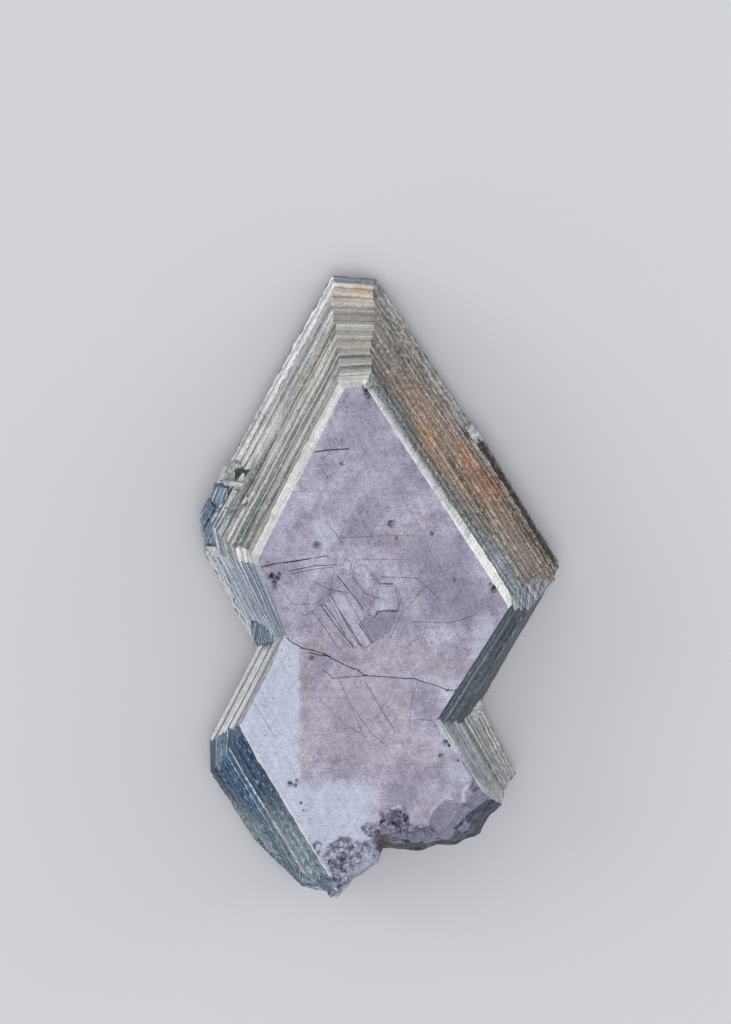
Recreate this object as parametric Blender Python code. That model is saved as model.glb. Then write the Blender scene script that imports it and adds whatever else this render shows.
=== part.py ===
"""A geocronite specimen: two rhombic tabular crystals grown together into one stepped body.

It lies on its flat back with the broad front face up, the blunt apex towards +Y and the
broken lower end towards -Y. Sizes are written in millimetres and turned into metres when a
mesh is made.
"""

import math
import random

import bmesh
import bpy
from mathutils import Vector

MM = 0.001

# Overall sizes
THICKNESS = 10.4
WIDEST_DEPTH = 9.0
BEVEL_DEPTH = 0.42
LAYER_COUNT = 12
LEDGE_DROP = 0.1
UNDERSIDE_LEDGES = 3
UNDERSIDE_DRAW_IN = 0.3
SHARP_TURN = 0.25
SEED = 29

# Corners of the outline, clockwise from the apex: name of the side that starts at the corner,
# where the corner is on the front face, and where it is at the widest line below it.
CORNERS = (
    ("apex", (-2.64, 16.57), (-3.7, 23.5)),
    ("upper_right", (-1.04, 16.73), (-0.1, 23.2)),
    ("right_corner", (10.32, -1.28), (14.45, -0.04)),
    ("lower_right", (10.4, -1.7), (13.44, -2.6)),
    ("lobe_right", (4.64, -11.07), (8.16, -11.94)),
    ("break", (8.08, -16.73), (10.96, -17.73)),
    ("break", (6.72, -18.05), (9.1, -19.6)),
    ("break", (6.08, -19.38), (8.1, -21.0)),
    ("break", (4.96, -20.37), (6.4, -22.2)),
    ("break", (2.64, -20.45), (3.3, -22.6)),
    ("break", (-0.16, -20.53), (0.4, -22.5)),
    ("break", (-0.64, -21.77), (-0.1, -23.6)),
    ("break", (-2.0, -23.18), (-1.8, -25.2)),
    ("break", (-2.8, -24.91), (-3.4, -26.6)),
    ("tip_left", (-3.68, -25.9), (-6.08, -27.2)),
    ("lobe_lower_left", (-3.76, -24.1), (-10.1, -23.1)),
    ("lobe_left_corner", (-10.84, -11.69), (-13.5, -17.6)),
    ("lobe_upper_left", (-10.96, -11.28), (-13.52, -14.84)),
    ("lower_left", (-7.28, -3.93), (-9.76, -7.4)),
    ("left_corner", (-9.52, 1.94), (-14.0, 0.7)),
    ("upper_left", (-9.6, 2.44), (-14.36, 3.59)),
)

# For each side: pieces along it, share of the spread taken by the bevel, share taken by the
# lean of the walls, chance that a layer ends in a ledge, and how far its edge wanders.
SIDES = {
    "apex": (1, 0.05, 0.55, 0.9, 0.0),
    "upper_right": (7, 0.13, 0.3, 0.95, 0.1),
    "right_corner": (1, 0.1, 0.4, 0.8, 0.0),
    "lower_right": (4, 0.04, 0.62, 0.3, 0.05),
    "lobe_right": (3, 0.08, 0.6, 0.5, 0.06),
    "break": (1, 0.3, 0.8, 0.4, 0.22),
    "tip_left": (2, 0.08, 0.6, 0.5, 0.08),
    "lobe_lower_left": (5, 0.08, 0.55, 0.45, 0.09),
    "lobe_left_corner": (1, 0.08, 0.5, 0.6, 0.0),
    "lobe_upper_left": (3, 0.2, 0.3, 0.8, 0.07),
    "lower_left": (3, 0.06, 0.45, 0.7, 0.08),
    "left_corner": (1, 0.1, 0.35, 0.7, 0.0),
    "upper_left": (6, 0.15, 0.3, 0.95, 0.1),
}
BREAK_REACH_DEPTH = 3.4
BREAK_CURVE = 0.7
FLAT_LEDGE_SHARE = 0.02
LEDGE_SHARES = (0.4, 1.6)
LAYER_SHARES = (0.55, 1.45)
WANDER_FADE_DEPTH = 1.26
WANDER_LOOSE = 0.5
WANDER_KEPT = 0.8

# Front face relief
STEP_DOWN = 0.13
STEP_DOWN_SLOPE = 0.0085
STEP_DOWN_START = -6.0
SEAM = (
    (-7.6, -4.05), (-5.76, -5.08), (-3.84, -5.5), (-2.8, -6.24), (-0.96, -7.23),
    (3.04, -7.4), (4.96, -8.06), (7.4, -8.75),
)
FIELD_OUTSIDE = ((14.0, -10.5), (14.0, -30.0), (-17.0, -30.0), (-17.0, -3.0), (-9.0, -3.4))
CUTTER_CLEAR = 1.0
SEAM_WIDTH = 0.26
SEAM_DEPTH = 0.34
SCRATCH = ((-5.1, 11.2), (-3.7, 11.3), (-2.3, 11.45))
SCRATCH_WIDTH = 0.16
SCRATCH_DEPTH = 0.1
PLATE_RISE = 0.09
PLATE_HEIGHTS = (1, 2, 1.3)
PLATE_FOOT = 9.9
PLATES = (
    (
        (-9.12, 1.61), (-6.56, 2.27), (-4, 2.69), (-2.24, -0.12), (-0.32, -4.26),
        (-0.96, -5.74), (-2.56, -4.26), (-4.48, -1.28), (-6.56, -0.29), (-8.16, -0.04),
    ),
    (
        (-7.36, 1.28), (-4.48, 1.78), (-2.64, -1.36), (-1.28, -4.09), (-1.92, -4.34),
        (-4.24, -0.79), (-6.24, 0.37),
    ),
    (
        (-2.08, 2.27), (-0.48, 1.86), (0.48, 0.21), (1.92, 0.45), (2.4, -0.95), (1.76, -1.94),
        (0.32, -2.02), (-0.16, -1.45), (-1.28, 0.54),
    ),
)
PITS = (
    (0.96, 5.5, 0.24, 0.3), (-5.9, 4.15, 0.22, 0.22), (-8.3, 0.85, 0.3, 0.3),
    (9.25, 0.0, 0.26, 0.28), (-7.2, -16.1, 0.24, 0.26), (5.9, -13.6, 0.28, 0.26),
    (-4.0, 8.9, 0.14, 0.16), (2.9, 3.1, 0.14, 0.16),
)
PIT_SIDES = 6
PIT_UNEVEN = 0.2

# Blocks grown on the left corner and on the upper right side: centre, half length along the
# upper left edge, half length along the lower left edge, and height of the top.
BLOCKS = (
    ((-12.4, 5.2), 1.7, 0.9, 4.3),
    ((-11.9, 1.6), 1.2, 1.5, 5.5),
    ((-13.2, 2.5), 1.3, 1.1, 3.1),
    ((-10.9, 3.4), 1.2, 1.0, 7.2),
)
BLOCK_EDGE_A = (-0.435, -0.9)
BLOCK_EDGE_B = (0.441, -0.897)
SHOULDER = ((11.09, 5.13), 5.3, 0.75, 3.4)
SHOULDER_EDGE_A = (0.531, -0.847)
SHOULDER_EDGE_B = (0.847, 0.531)
BLOCK_FOOT = 1.9

# Chips: centre, radius, squash along each axis
CHIPS = (
    ((-0.75, 17.1, 10.2), 0.55, (1.0, 1.5, 0.9)),
    ((-11.3, 6.0, 6.1), 0.95, (1.0, 0.75, 0.7)),
    ((-2.3, -23.9, 10.25), 0.85, (1.1, 1.4, 0.6)),
    ((-0.3, -21.3, 10.2), 0.55, (1.0, 1.0, 0.7)),
    ((3.9, -20.5, 10.1), 0.7, (1.7, 0.7, 0.6)),
    ((7.4, -17.5, 10.0), 0.6, (1.1, 0.9, 0.8)),
    ((-8.4, 7.3, 10.35), 0.3, (0.8, 1.6, 0.7)),
)
CHIP_ROUGHNESS = 0.22

# Relief on the back, cut in from the flat resting face
BACK_STEPS = (
    ((-4.2, 9.5), 5.2, 2.4, 0.3),
    ((6.2, -6.4), 3.4, 2.2, 0.25),
    ((-5.6, -14.6), 2.6, 3.2, 0.3),
)
BACK_SIDES = 5
BACK_UNEVEN = 0.2

SMALLEST_EDGE = 0.004

LEAD_GREY = (0.47, 0.45, 0.5, 1.0)


def clear_scene():
    for old in list(bpy.data.objects):
        bpy.data.objects.remove(old, do_unlink=True)


def make_collection(name, helper=False):
    collection = bpy.data.collections.new(name)
    bpy.context.scene.collection.children.link(collection)
    collection.hide_render = helper
    return collection


def mesh_object(name, points, faces, collection):
    """A mesh object from points in millimetres."""
    mesh = bpy.data.meshes.new(name)
    mesh.from_pydata([Vector(point) * MM for point in points], [], faces)
    rounds = bmesh.new()
    rounds.from_mesh(mesh)
    bmesh.ops.recalc_face_normals(rounds, faces=rounds.faces)
    rounds.to_mesh(mesh)
    rounds.free()
    made = bpy.data.objects.new(name, mesh)
    collection.objects.link(made)
    return made


def layer_depths(rng):
    """Depths of the rings below the front face, and whether each ring ends a ledge."""
    thick = [rng.uniform(*LAYER_SHARES) for _ in range(LAYER_COUNT)]
    scale = (WIDEST_DEPTH - BEVEL_DEPTH) / sum(thick)
    depths = [(0.0, "front"), (BEVEL_DEPTH, "bevel")]
    depth = BEVEL_DEPTH
    for size in thick:
        depth += size * scale
        depths.append((depth - LEDGE_DROP, "wall"))
        depths.append((depth, "ledge"))
    rise = (THICKNESS - WIDEST_DEPTH) / (UNDERSIDE_LEDGES + 1)
    for _ in range(UNDERSIDE_LEDGES):
        depth += rise
        depths.append((depth, "under_wall"))
        depths.append((depth + LEDGE_DROP, "under_ledge"))
    depths.append((THICKNESS, "back"))
    return depths


def side_profile(side, depths, rng):
    """How much of its full spread a side has reached at each ring."""
    _, bevel, lean, chance, _ = SIDES[side]
    weights = []
    for _, kind in depths:
        wide = rng.uniform(*LEDGE_SHARES) if rng.random() < chance else FLAT_LEDGE_SHARE
        weights.append(wide if kind == "ledge" else 0.0)
    total = sum(weights)
    reached = []
    share = 0.0
    before = 0.0
    for (depth, kind), weight in zip(depths, weights):
        if kind == "bevel":
            share = bevel
        elif kind == "wall":
            share += lean * (depth - before) / WIDEST_DEPTH
        elif kind == "ledge":
            share += (1.0 - bevel - lean) * weight / total
        elif kind == "under_ledge":
            share -= UNDERSIDE_DRAW_IN / UNDERSIDE_LEDGES
        reached.append(share)
        before = depth
    top = max(reached)
    return [value / top for value in reached]


def break_profile(depths):
    """The broken end bulges out near the front and then falls straight to the back."""
    return [min(1.0, (depth / BREAK_REACH_DEPTH) ** BREAK_CURVE) for depth, _ in depths]


def corner_points(profiles, count):
    """Each corner of the outline at each ring, where the two sides beside it meet."""
    fronts = [Vector(corner[1]) for corner in CORNERS]
    corners = []
    for index, (side, front, widest) in enumerate(CORNERS):
        before = CORNERS[index - 1][0]
        ahead = (fronts[(index + 1) % len(CORNERS)] - fronts[index]).normalized()
        behind = (fronts[index] - fronts[index - 1]).normalized()
        reach = Vector(widest) - Vector(front)
        turn = ahead.cross(behind)
        if side == before or abs(turn) < SHARP_TURN:
            with_before = with_after = reach * 0.5
        else:
            with_before = ahead * (reach.cross(behind) / turn)
            with_after = behind * (ahead.cross(reach) / turn)
        corners.append([
            Vector(front) + with_before * profiles[before][ring] + with_after * profiles[side][ring]
            for ring in range(count)
        ])
    return corners


def outline_ring(ring, corners, wander):
    """The points of one ring, with the ends of the sides and the points between them."""
    points = []
    for index, (side, _, _) in enumerate(CORNERS):
        start = corners[index][ring]
        end = corners[(index + 1) % len(CORNERS)][ring]
        along = (end - start).normalized()
        outward = Vector((-along.y, along.x))
        pieces = SIDES[side][0]
        points.append(start + outward * wander[index][ring][0])
        for piece in range(1, pieces):
            share = piece / pieces
            points.append(start.lerp(end, share) + outward * wander[index][ring][piece])
    return points


def edge_wander(depths, rng):
    """How far each ring wanders from its straight side, at each point along it."""
    wander = []
    for side, _, _ in CORNERS:
        pieces, _, _, _, reach = SIDES[side]
        steady = [rng.uniform(-reach, reach) for _ in range(pieces)]
        rings = []
        for depth, kind in depths:
            grow = min(1.0, depth / WANDER_FADE_DEPTH)
            play = WANDER_LOOSE * reach
            loose = [(value + rng.uniform(-play, play)) * grow for value in steady]
            if kind in ("ledge", "under_ledge"):
                kept = WANDER_KEPT
                loose = [kept * old + (1.0 - kept) * new for old, new in zip(rings[-1], loose)]
            if side != "break":
                loose[0] = 0.0
            rings.append(loose)
        wander.append(rings)
    return wander


def stepped_body(collection):
    """The body of both crystals: rings of the outline from the front face to the back."""
    rng = random.Random(SEED)
    depths = layer_depths(rng)
    profiles = {side: side_profile(side, depths, rng) for side in SIDES}
    profiles["break"] = break_profile(depths)
    corners = corner_points(profiles, len(depths))
    wander = edge_wander(depths, rng)
    points = []
    faces = []
    for ring, (depth, _) in enumerate(depths):
        outline = outline_ring(ring, corners, wander)
        size = len(outline)
        points.extend((point.x, point.y, THICKNESS - depth) for point in outline)
        if ring:
            low, high = ring * size, (ring - 1) * size
            for index in range(size):
                following = (index + 1) % size
                faces.append((high + index, high + following, low + following, low + index))
    faces.append(tuple(range(size)))
    faces.append(tuple(range(len(points) - size, len(points))))
    return mesh_object("geocronite_specimen", points, faces, collection)


def prism(name, outline, floor, ceiling, collection, floor_slope=0.0):
    """A straight prism over an outline; the slope sinks its floor towards -Y."""
    size = len(outline)
    points = [(x, y, floor + floor_slope * y) for x, y in outline]
    points += [(x, y, ceiling) for x, y in outline]
    faces = [tuple(range(size)), tuple(range(size, 2 * size))]
    for index in range(size):
        following = (index + 1) % size
        faces.append((index, following, following + size, index + size))
    return mesh_object(name, points, faces, collection)


def groove(name, path, width, depth, collection):
    """A V-shaped trench along a path, running out to a point at both ends."""
    lid = THICKNESS + width
    spread = 0.5 * width * (1.0 + width / depth)
    points = [(*path[0], THICKNESS)]
    for index in range(1, len(path) - 1):
        along = (Vector(path[index + 1]) - Vector(path[index - 1])).normalized()
        across = Vector((-along.y, along.x)) * spread
        centre = Vector(path[index])
        points.append((*(centre + across), lid))
        points.append((*(centre - across), lid))
        points.append((*centre, THICKNESS - depth))
    points.append((*path[-1], THICKNESS))
    faces = []
    inner = len(path) - 2
    for section in range(inner - 1):
        here, there = 1 + 3 * section, 4 + 3 * section
        for a, b in ((0, 1), (1, 2), (2, 0)):
            faces.append((here + a, here + b, there + b, there + a))
    last = 1 + 3 * (inner - 1)
    for a, b in ((0, 1), (1, 2), (2, 0)):
        faces.append((0, 1 + a, 1 + b))
        faces.append((len(points) - 1, last + b, last + a))
    return mesh_object(name, points, faces, collection)


def pit_cutters(collection):
    """Small pits in the front face, each an upturned pyramid with uneven corners."""
    rng = random.Random(SEED + 1)
    points = []
    faces = []
    for x, y, radius, depth in PITS:
        first = len(points)
        for side in range(PIT_SIDES):
            angle = math.tau * (side + rng.uniform(-PIT_UNEVEN, PIT_UNEVEN)) / PIT_SIDES
            reach = 2.0 * radius * (1.0 + rng.uniform(-PIT_UNEVEN, PIT_UNEVEN))
            points.append((x + reach * math.cos(angle), y + reach * math.sin(angle), THICKNESS + depth))
        points.append((x, y, THICKNESS - depth))
        faces.append(tuple(range(first, first + PIT_SIDES)))
        for side in range(PIT_SIDES):
            following = (side + 1) % PIT_SIDES
            faces.append((first + side, first + following, first + PIT_SIDES))
    return mesh_object("pits", points, faces, collection)


def chip_cutter(number, centre, radius, squash, collection):
    """A rough lump that takes a chip out of an edge."""
    rng = random.Random(SEED + 10 + number)
    lump = bmesh.new()
    bmesh.ops.create_icosphere(lump, subdivisions=2, radius=1.0)
    for vertex in lump.verts:
        vertex.co *= radius * (1.0 + rng.uniform(-CHIP_ROUGHNESS, CHIP_ROUGHNESS))
        vertex.co = Vector([size * part for size, part in zip(vertex.co, squash)])
        vertex.co = (vertex.co + Vector(centre)) * MM
    mesh = bpy.data.meshes.new("chip")
    lump.to_mesh(mesh)
    lump.free()
    made = bpy.data.objects.new(f"chip_{number}", mesh)
    collection.objects.link(made)
    return made


def rhomb(centre, half_a, half_b, edge_a, edge_b):
    """Corners of a rhomb with its edges along two given directions."""
    a = Vector(edge_a) * half_a
    b = Vector(edge_b) * half_b
    middle = Vector(centre)
    return [tuple(middle + a * i + b * j) for i, j in ((-1, -1), (1, -1), (1, 1), (-1, 1))]


def back_outline(centre, reach_x, reach_y, number):
    """An uneven outline for one recess in the back."""
    rng = random.Random(SEED + 40 + number)
    outline = []
    for side in range(BACK_SIDES):
        angle = math.tau * (side + rng.uniform(-BACK_UNEVEN, BACK_UNEVEN)) / BACK_SIDES
        outline.append((
            centre[0] + reach_x * math.cos(angle),
            centre[1] + reach_y * math.sin(angle),
        ))
    return outline


def boolean(body, other, operation):
    step = body.modifiers.new(other.name, "BOOLEAN")
    step.object = other
    step.operation = operation
    step.solver = "EXACT"


def keep_evaluated(body):
    """Replaces the body's mesh with the result of its modifiers, cleaned of tiny edges."""
    graph = bpy.context.evaluated_depsgraph_get()
    mesh = bpy.data.meshes.new_from_object(body.evaluated_get(graph))
    body.modifiers.clear()
    body.data = mesh
    body.data.name = body.name
    tidy = bmesh.new()
    tidy.from_mesh(mesh)
    bmesh.ops.remove_doubles(tidy, verts=tidy.verts, dist=SMALLEST_EDGE * MM)
    bmesh.ops.dissolve_degenerate(tidy, dist=SMALLEST_EDGE * MM, edges=tidy.edges)
    bmesh.ops.triangulate(tidy, faces=[face for face in tidy.faces if len(face.verts) > 3])
    tidy.to_mesh(mesh)
    tidy.free()


def centre_on_origin(body):
    """Moves the body so that its box is centred on X and Y and rests on Z = 0."""
    low = Vector([min(vertex.co[axis] for vertex in body.data.vertices) for axis in range(3)])
    high = Vector([max(vertex.co[axis] for vertex in body.data.vertices) for axis in range(3)])
    shift = Vector(((low.x + high.x) / 2, (low.y + high.y) / 2, low.z))
    for vertex in body.data.vertices:
        vertex.co -= shift


def add_material(body):
    material = bpy.data.materials.new("crystal")
    material.use_nodes = True
    shader = material.node_tree.nodes["Principled BSDF"]
    shader.inputs["Base Color"].default_value = LEAD_GREY
    shader.inputs["Metallic"].default_value = 0.9
    shader.inputs["Roughness"].default_value = 0.32
    body.data.materials.clear()
    body.data.materials.append(material)


def build():
    clear_scene()
    parts = make_collection("geocronite")
    cutters = make_collection("cutters", helper=True)
    body = stepped_body(parts)

    for number, (centre, half_a, half_b, top) in enumerate(BLOCKS):
        outline = rhomb(centre, half_a, half_b, BLOCK_EDGE_A, BLOCK_EDGE_B)
        boolean(body, prism(f"block_{number}", outline, BLOCK_FOOT, top, cutters), "UNION")
    centre, half_a, half_b, top = SHOULDER
    outline = rhomb(centre, half_a, half_b, SHOULDER_EDGE_A, SHOULDER_EDGE_B)
    boolean(body, prism("shoulder", outline, BLOCK_FOOT, top, cutters), "UNION")

    floor = THICKNESS - STEP_DOWN - STEP_DOWN_SLOPE * STEP_DOWN_START
    field = SEAM + FIELD_OUTSIDE
    lid = THICKNESS + CUTTER_CLEAR
    boolean(body, prism("lower_field", field, floor, lid, cutters, STEP_DOWN_SLOPE), "DIFFERENCE")
    for number, outline in enumerate(PLATES):
        rise = THICKNESS + PLATE_RISE * PLATE_HEIGHTS[number]
        boolean(body, prism(f"plate_{number}", outline, PLATE_FOOT, rise, cutters), "UNION")
    boolean(body, groove("seam", SEAM, SEAM_WIDTH, SEAM_DEPTH, cutters), "DIFFERENCE")
    boolean(body, groove("scratch", SCRATCH, SCRATCH_WIDTH, SCRATCH_DEPTH, cutters), "DIFFERENCE")
    boolean(body, pit_cutters(cutters), "DIFFERENCE")
    for number, (centre, radius, squash) in enumerate(CHIPS):
        boolean(body, chip_cutter(number, centre, radius, squash, cutters), "DIFFERENCE")
    for number, (centre, reach_x, reach_y, deep) in enumerate(BACK_STEPS):
        outline = back_outline(centre, reach_x, reach_y, number)
        boolean(body, prism(f"back_{number}", outline, -CUTTER_CLEAR, deep, cutters), "DIFFERENCE")

    for helper in cutters.objects:
        helper.hide_render = True
        helper.display_type = "WIRE"
    keep_evaluated(body)
    centre_on_origin(body)
    add_material(body)


build()
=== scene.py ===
"""The look of the geocronite specimen, laid out as a Blender add-on and run as a script.

Sizes are written in millimetres and turned into metres when a mesh is made.
"""

import math
import random

import bmesh
import bpy
import numpy as np
from bpy.props import FloatProperty, FloatVectorProperty, IntProperty, PointerProperty
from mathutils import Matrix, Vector, kdtree, noise
from mathutils.geometry import delaunay_2d_cdt


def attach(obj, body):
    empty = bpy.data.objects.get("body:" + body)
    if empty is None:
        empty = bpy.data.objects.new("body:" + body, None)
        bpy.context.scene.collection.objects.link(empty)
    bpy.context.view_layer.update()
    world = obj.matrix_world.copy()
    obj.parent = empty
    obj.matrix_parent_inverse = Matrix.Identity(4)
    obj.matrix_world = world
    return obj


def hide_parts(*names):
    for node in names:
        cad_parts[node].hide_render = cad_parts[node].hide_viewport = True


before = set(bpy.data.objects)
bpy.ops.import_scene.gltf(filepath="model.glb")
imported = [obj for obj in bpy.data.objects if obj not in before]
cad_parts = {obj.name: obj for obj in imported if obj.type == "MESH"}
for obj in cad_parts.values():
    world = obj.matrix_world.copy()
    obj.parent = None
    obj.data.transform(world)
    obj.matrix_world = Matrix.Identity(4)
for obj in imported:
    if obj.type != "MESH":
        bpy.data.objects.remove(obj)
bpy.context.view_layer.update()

bl_info = {
    "name": "Geocronite Specimen",
    "version": (1, 0, 0),
    "blender": (4, 5, 0),
    "location": "View3D > Sidebar > Geocronite",
    "description": "Builds the stepped geocronite crystals and a soft studio around them",
    "category": "Add Mesh",
}

MM = 0.001
NODE = "geocronite_specimen"

# Overall sizes, the same as the solid's
THICKNESS = 10.4
WIDEST_DEPTH = 9.0
BEVEL_DEPTH = 0.42
LAYER_COUNT = 12
LEDGE_DROP = 0.1
UNDERSIDE_LEDGES = 3
UNDERSIDE_DRAW_IN = 0.3
SHARP_TURN = 0.25
SEED = 29
CENTRE = (0.0, -1.85)

# Corners of the outline, clockwise from the apex: name of the side that starts at the corner,
# where the corner is on the front face, and where it is at the widest line below it.
CORNERS = (
    ("apex", (-2.64, 16.57), (-3.7, 23.5)),
    ("upper_right", (-1.04, 16.73), (-0.1, 23.2)),
    ("right_corner", (10.32, -1.28), (14.45, -0.04)),
    ("lower_right", (10.4, -1.7), (13.44, -2.6)),
    ("lobe_right", (4.64, -11.07), (8.16, -11.94)),
    ("break", (8.08, -16.73), (10.96, -17.73)),
    ("break", (6.72, -18.05), (9.1, -19.6)),
    ("break", (6.08, -19.38), (8.1, -21.0)),
    ("break", (4.96, -20.37), (6.4, -22.2)),
    ("break", (2.64, -20.45), (3.3, -22.6)),
    ("break", (-0.16, -20.53), (0.4, -22.5)),
    ("break", (-0.64, -21.77), (-0.1, -23.6)),
    ("break", (-2.0, -23.18), (-1.8, -25.2)),
    ("break", (-2.8, -24.91), (-3.4, -26.6)),
    ("tip_left", (-3.68, -25.9), (-6.08, -27.2)),
    ("lobe_lower_left", (-3.76, -24.1), (-10.1, -23.1)),
    ("lobe_left_corner", (-10.84, -11.69), (-13.5, -17.6)),
    ("lobe_upper_left", (-10.96, -11.28), (-13.52, -14.84)),
    ("lower_left", (-7.28, -3.93), (-9.76, -7.4)),
    ("left_corner", (-9.52, 1.94), (-14.0, 0.7)),
    ("upper_left", (-9.6, 2.44), (-14.36, 3.59)),
)

# For each side: pieces along it, share of the spread taken by the bevel, share taken by the
# lean of the walls, chance that a layer ends in a ledge, and how far its edge wanders.
SIDES = {
    "apex": (1, 0.05, 0.55, 0.9, 0.0),
    "upper_right": (7, 0.13, 0.3, 0.95, 0.1),
    "right_corner": (1, 0.1, 0.4, 0.8, 0.0),
    "lower_right": (4, 0.04, 0.62, 0.3, 0.05),
    "lobe_right": (3, 0.08, 0.6, 0.5, 0.06),
    "break": (1, 0.3, 0.8, 0.4, 0.22),
    "tip_left": (2, 0.08, 0.6, 0.5, 0.08),
    "lobe_lower_left": (5, 0.08, 0.55, 0.45, 0.09),
    "lobe_left_corner": (1, 0.08, 0.5, 0.6, 0.0),
    "lobe_upper_left": (3, 0.2, 0.3, 0.8, 0.07),
    "lower_left": (3, 0.06, 0.45, 0.7, 0.08),
    "left_corner": (1, 0.1, 0.35, 0.7, 0.0),
    "upper_left": (6, 0.15, 0.3, 0.95, 0.1),
}
BREAK_REACH_DEPTH = 3.4
BREAK_CURVE = 0.7
FLAT_LEDGE_SHARE = 0.02
LEDGE_SHARES = (0.4, 1.6)
LAYER_SHARES = (0.55, 1.45)
WANDER_FADE_DEPTH = 1.26
WANDER_LOOSE = 0.5
WANDER_KEPT = 0.8
WANDER_SHOWN = 0.4

# How far the outer edge crumbles on each side, in millimetres, and the depths where it starts
CRUMBLE = {
    "upper_right": 0.12, "right_corner": 0.12, "lower_left": 0.18, "left_corner": 0.2,
    "upper_left": 0.1, "lobe_right": 0.08, "break": 0.16, "lobe_lower_left": 0.07,
    "tip_left": 0.1, "apex": 0.08, "lower_right": 0.04,
}
CRUMBLE_DEPTHS = (6.6, 8.4)
CORNER_FACETS = ("right_corner", "left_corner", "lobe_left_corner")

# How much a wall counts beside a ledge where the growth lines are spaced, and how far the
# photograph's view moves a deeper point outwards on the upper side
WALL_SHARE = 0.5
SIGHT_LEAN = 0.25
# The corner facet that cuts across the lines of the side before it
CUT_SIDE, CUT_FACET = "upper_right", "right_corner"

# How far the outer line of a bevel wanders, over what length, and the depth where this ends
NICK = 0.12
NICK_LENGTH = 1.1
NICK_END = 1.1
# The finer part of that wander: its strength, and how much shorter it is
NICK_FINE = (0.6, 4.0)
# Near the left corner the bevel is narrower: up to this share of the side, and by how much
BEVEL_STEP = (0.22, 0.13)

# Size of the hollows on the broken end
SCALLOP = 1.2

# How finely the visual surface is divided
WALL_PIECE = 0.12
LEDGE_PIECES = 3
ALONG_PIECE = 0.27
FACE_PIECE = 0.145
BACK_PIECE = 0.9
LINE_PIECE = 0.14
# The even grid of a flat face: how far a point strays, how near a line it may be, and how near
# the rim a line may come
GRID_STRAY = 0.12
GRID_GAP = 0.45
RIM_GAP = 0.04
# Depth where the relief of the front face ends on the sides, depths over which the growth lines
# start, and how far from the back they end
RELIEF_END = 1.2
GROWTH_START = (0.05, 0.6)
GROWTH_END = 0.2

# Materials, in the order of the numbers that the faces carry
KINDS = (
    "front_face", "bevel", "upper_left", "apex", "upper_right", "slate", "blue",
    "steel", "wedge", "broken", "back", "lobe_stripes", "left_end", "right_end", "tip",
    "white_bevel", "thin_bevel", "worn_bevel", "grey_bevel",
)
PIECE_KINDS = ("shoulder", "block", "shard", "pitted")
ROUGH_KINDS = ("broken", "back", "pitted", "tip")
SIDE_KIND = {
    "apex": "apex",
    "upper_right": "upper_right",
    "right_corner": "right_end",
    "lower_right": "slate",
    "lobe_right": "wedge",
    "break": "broken",
    "tip_left": "blue",
    "lobe_lower_left": "blue",
    "lobe_left_corner": "blue",
    "lobe_upper_left": "lobe_stripes",
    "lower_left": "steel",
    "left_corner": "left_end",
    "upper_left": "upper_left",
}
# Width of the bevel at the start and at the end of a side, as a share of the solid's
BEVEL_WIDTHS = {
    "upper_right": (0.5, 1.35), "lobe_upper_left": (0.7, 0.5), "lobe_lower_left": (0.45, 0.62),
    "lobe_right": (0.9, 0.3), "lobe_left_corner": (0.5, 0.5),
}
BEVELLED = ("upper_left", "upper_right", "right_corner", "lobe_upper_left", "lobe_lower_left",
            "left_corner", "lobe_right", "apex", "lobe_left_corner")
# Materials of the bevels; their near-white zones are painted highlights where the narrow bevels
# catch the lamps.
BEVEL_KINDS = {
    "upper_right": "white_bevel", "right_corner": "white_bevel", "lobe_lower_left": "thin_bevel",
    "lobe_left_corner": "thin_bevel", "lobe_right": "worn_bevel",
    "lobe_upper_left": "grey_bevel",
}
# The broken end counts as the tip below this Y
TIP_TOP = -21.0

# Front face relief
STEP_DOWN = 0.13
STEP_DOWN_SLOPE = 0.0085
STEP_DOWN_START = -6.0
SEAM = (
    (-7.6, -4.05), (-7.36, -4.09), (-6.88, -4.5), (-5.92, -5.0), (-5.12, -5.16), (-4.16, -5.5),
    (-3.68, -5.83), (-3.04, -6.16), (-2.4, -6.49), (-1.68, -6.73), (-1.04, -7.23), (0.16, -7.31),
    (2.16, -7.48), (2.88, -7.48), (3.76, -7.81), (4.64, -8.06), (5.44, -8.39), (7.4, -8.75),
)
FIELD_OUTSIDE = ((14.0, -10.5), (14.0, -30.0), (-17.0, -30.0), (-17.0, -3.0), (-9.0, -3.4))

# Shapes on the front face
LEFT_PLATE = (
    (-9.52, 1.69), (-7.6, 2.19), (-4.24, 2.69), (-3.28, 2.36), (-3.84, -0.45), (-4.96, -1.36),
    (-6.96, -1.36), (-7.9, 0.2),
)
MIDDLE_PLATE = (
    (-2.0, 1.61), (-1.28, 2.11), (-0.88, 1.78), (-0.64, 1.28), (0.16, 0.45), (1.28, 0.45),
    (1.52, -0.12), (1.92, -0.79), (1.6, -1.86), (0.0, -1.86), (-0.24, -2.44), (-0.8, -2.02),
    (-0.08, -0.79), (-1.12, -0.45), (-2.08, 0.87),
)
LIGHT_PLATE = (
    (0.0, 0.21), (1.28, 0.21), (1.68, -0.95), (1.6, -1.86), (0.0, -1.86), (-0.24, -2.44),
    (-0.8, -2.02), (-0.08, -0.79),
)
BRIGHT_FACET = ((-2.56, 2.52), (-2.08, 2.11), (-2.24, 1.28), (-2.96, 1.69))
SHADE_ABOVE = ((-0.88, 1.86), (-0.4, 1.53), (0.32, 0.45), (0.0, 0.37), (-0.64, 1.2))
SHADE_BELOW = (
    (-1.52, -2.93), (-0.8, -2.02), (-0.24, -2.44), (0.0, -1.94), (1.6, -1.94), (0.96, -3.6),
    (0.0, -4.26), (-0.48, -4.5),
)
SHADE_INSIDE = (
    (-2.56, 1.12), (-1.76, 1.36), (-0.48, -0.12), (-0.16, -0.95), (-0.96, -1.61), (-1.76, -0.79),
)
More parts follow.
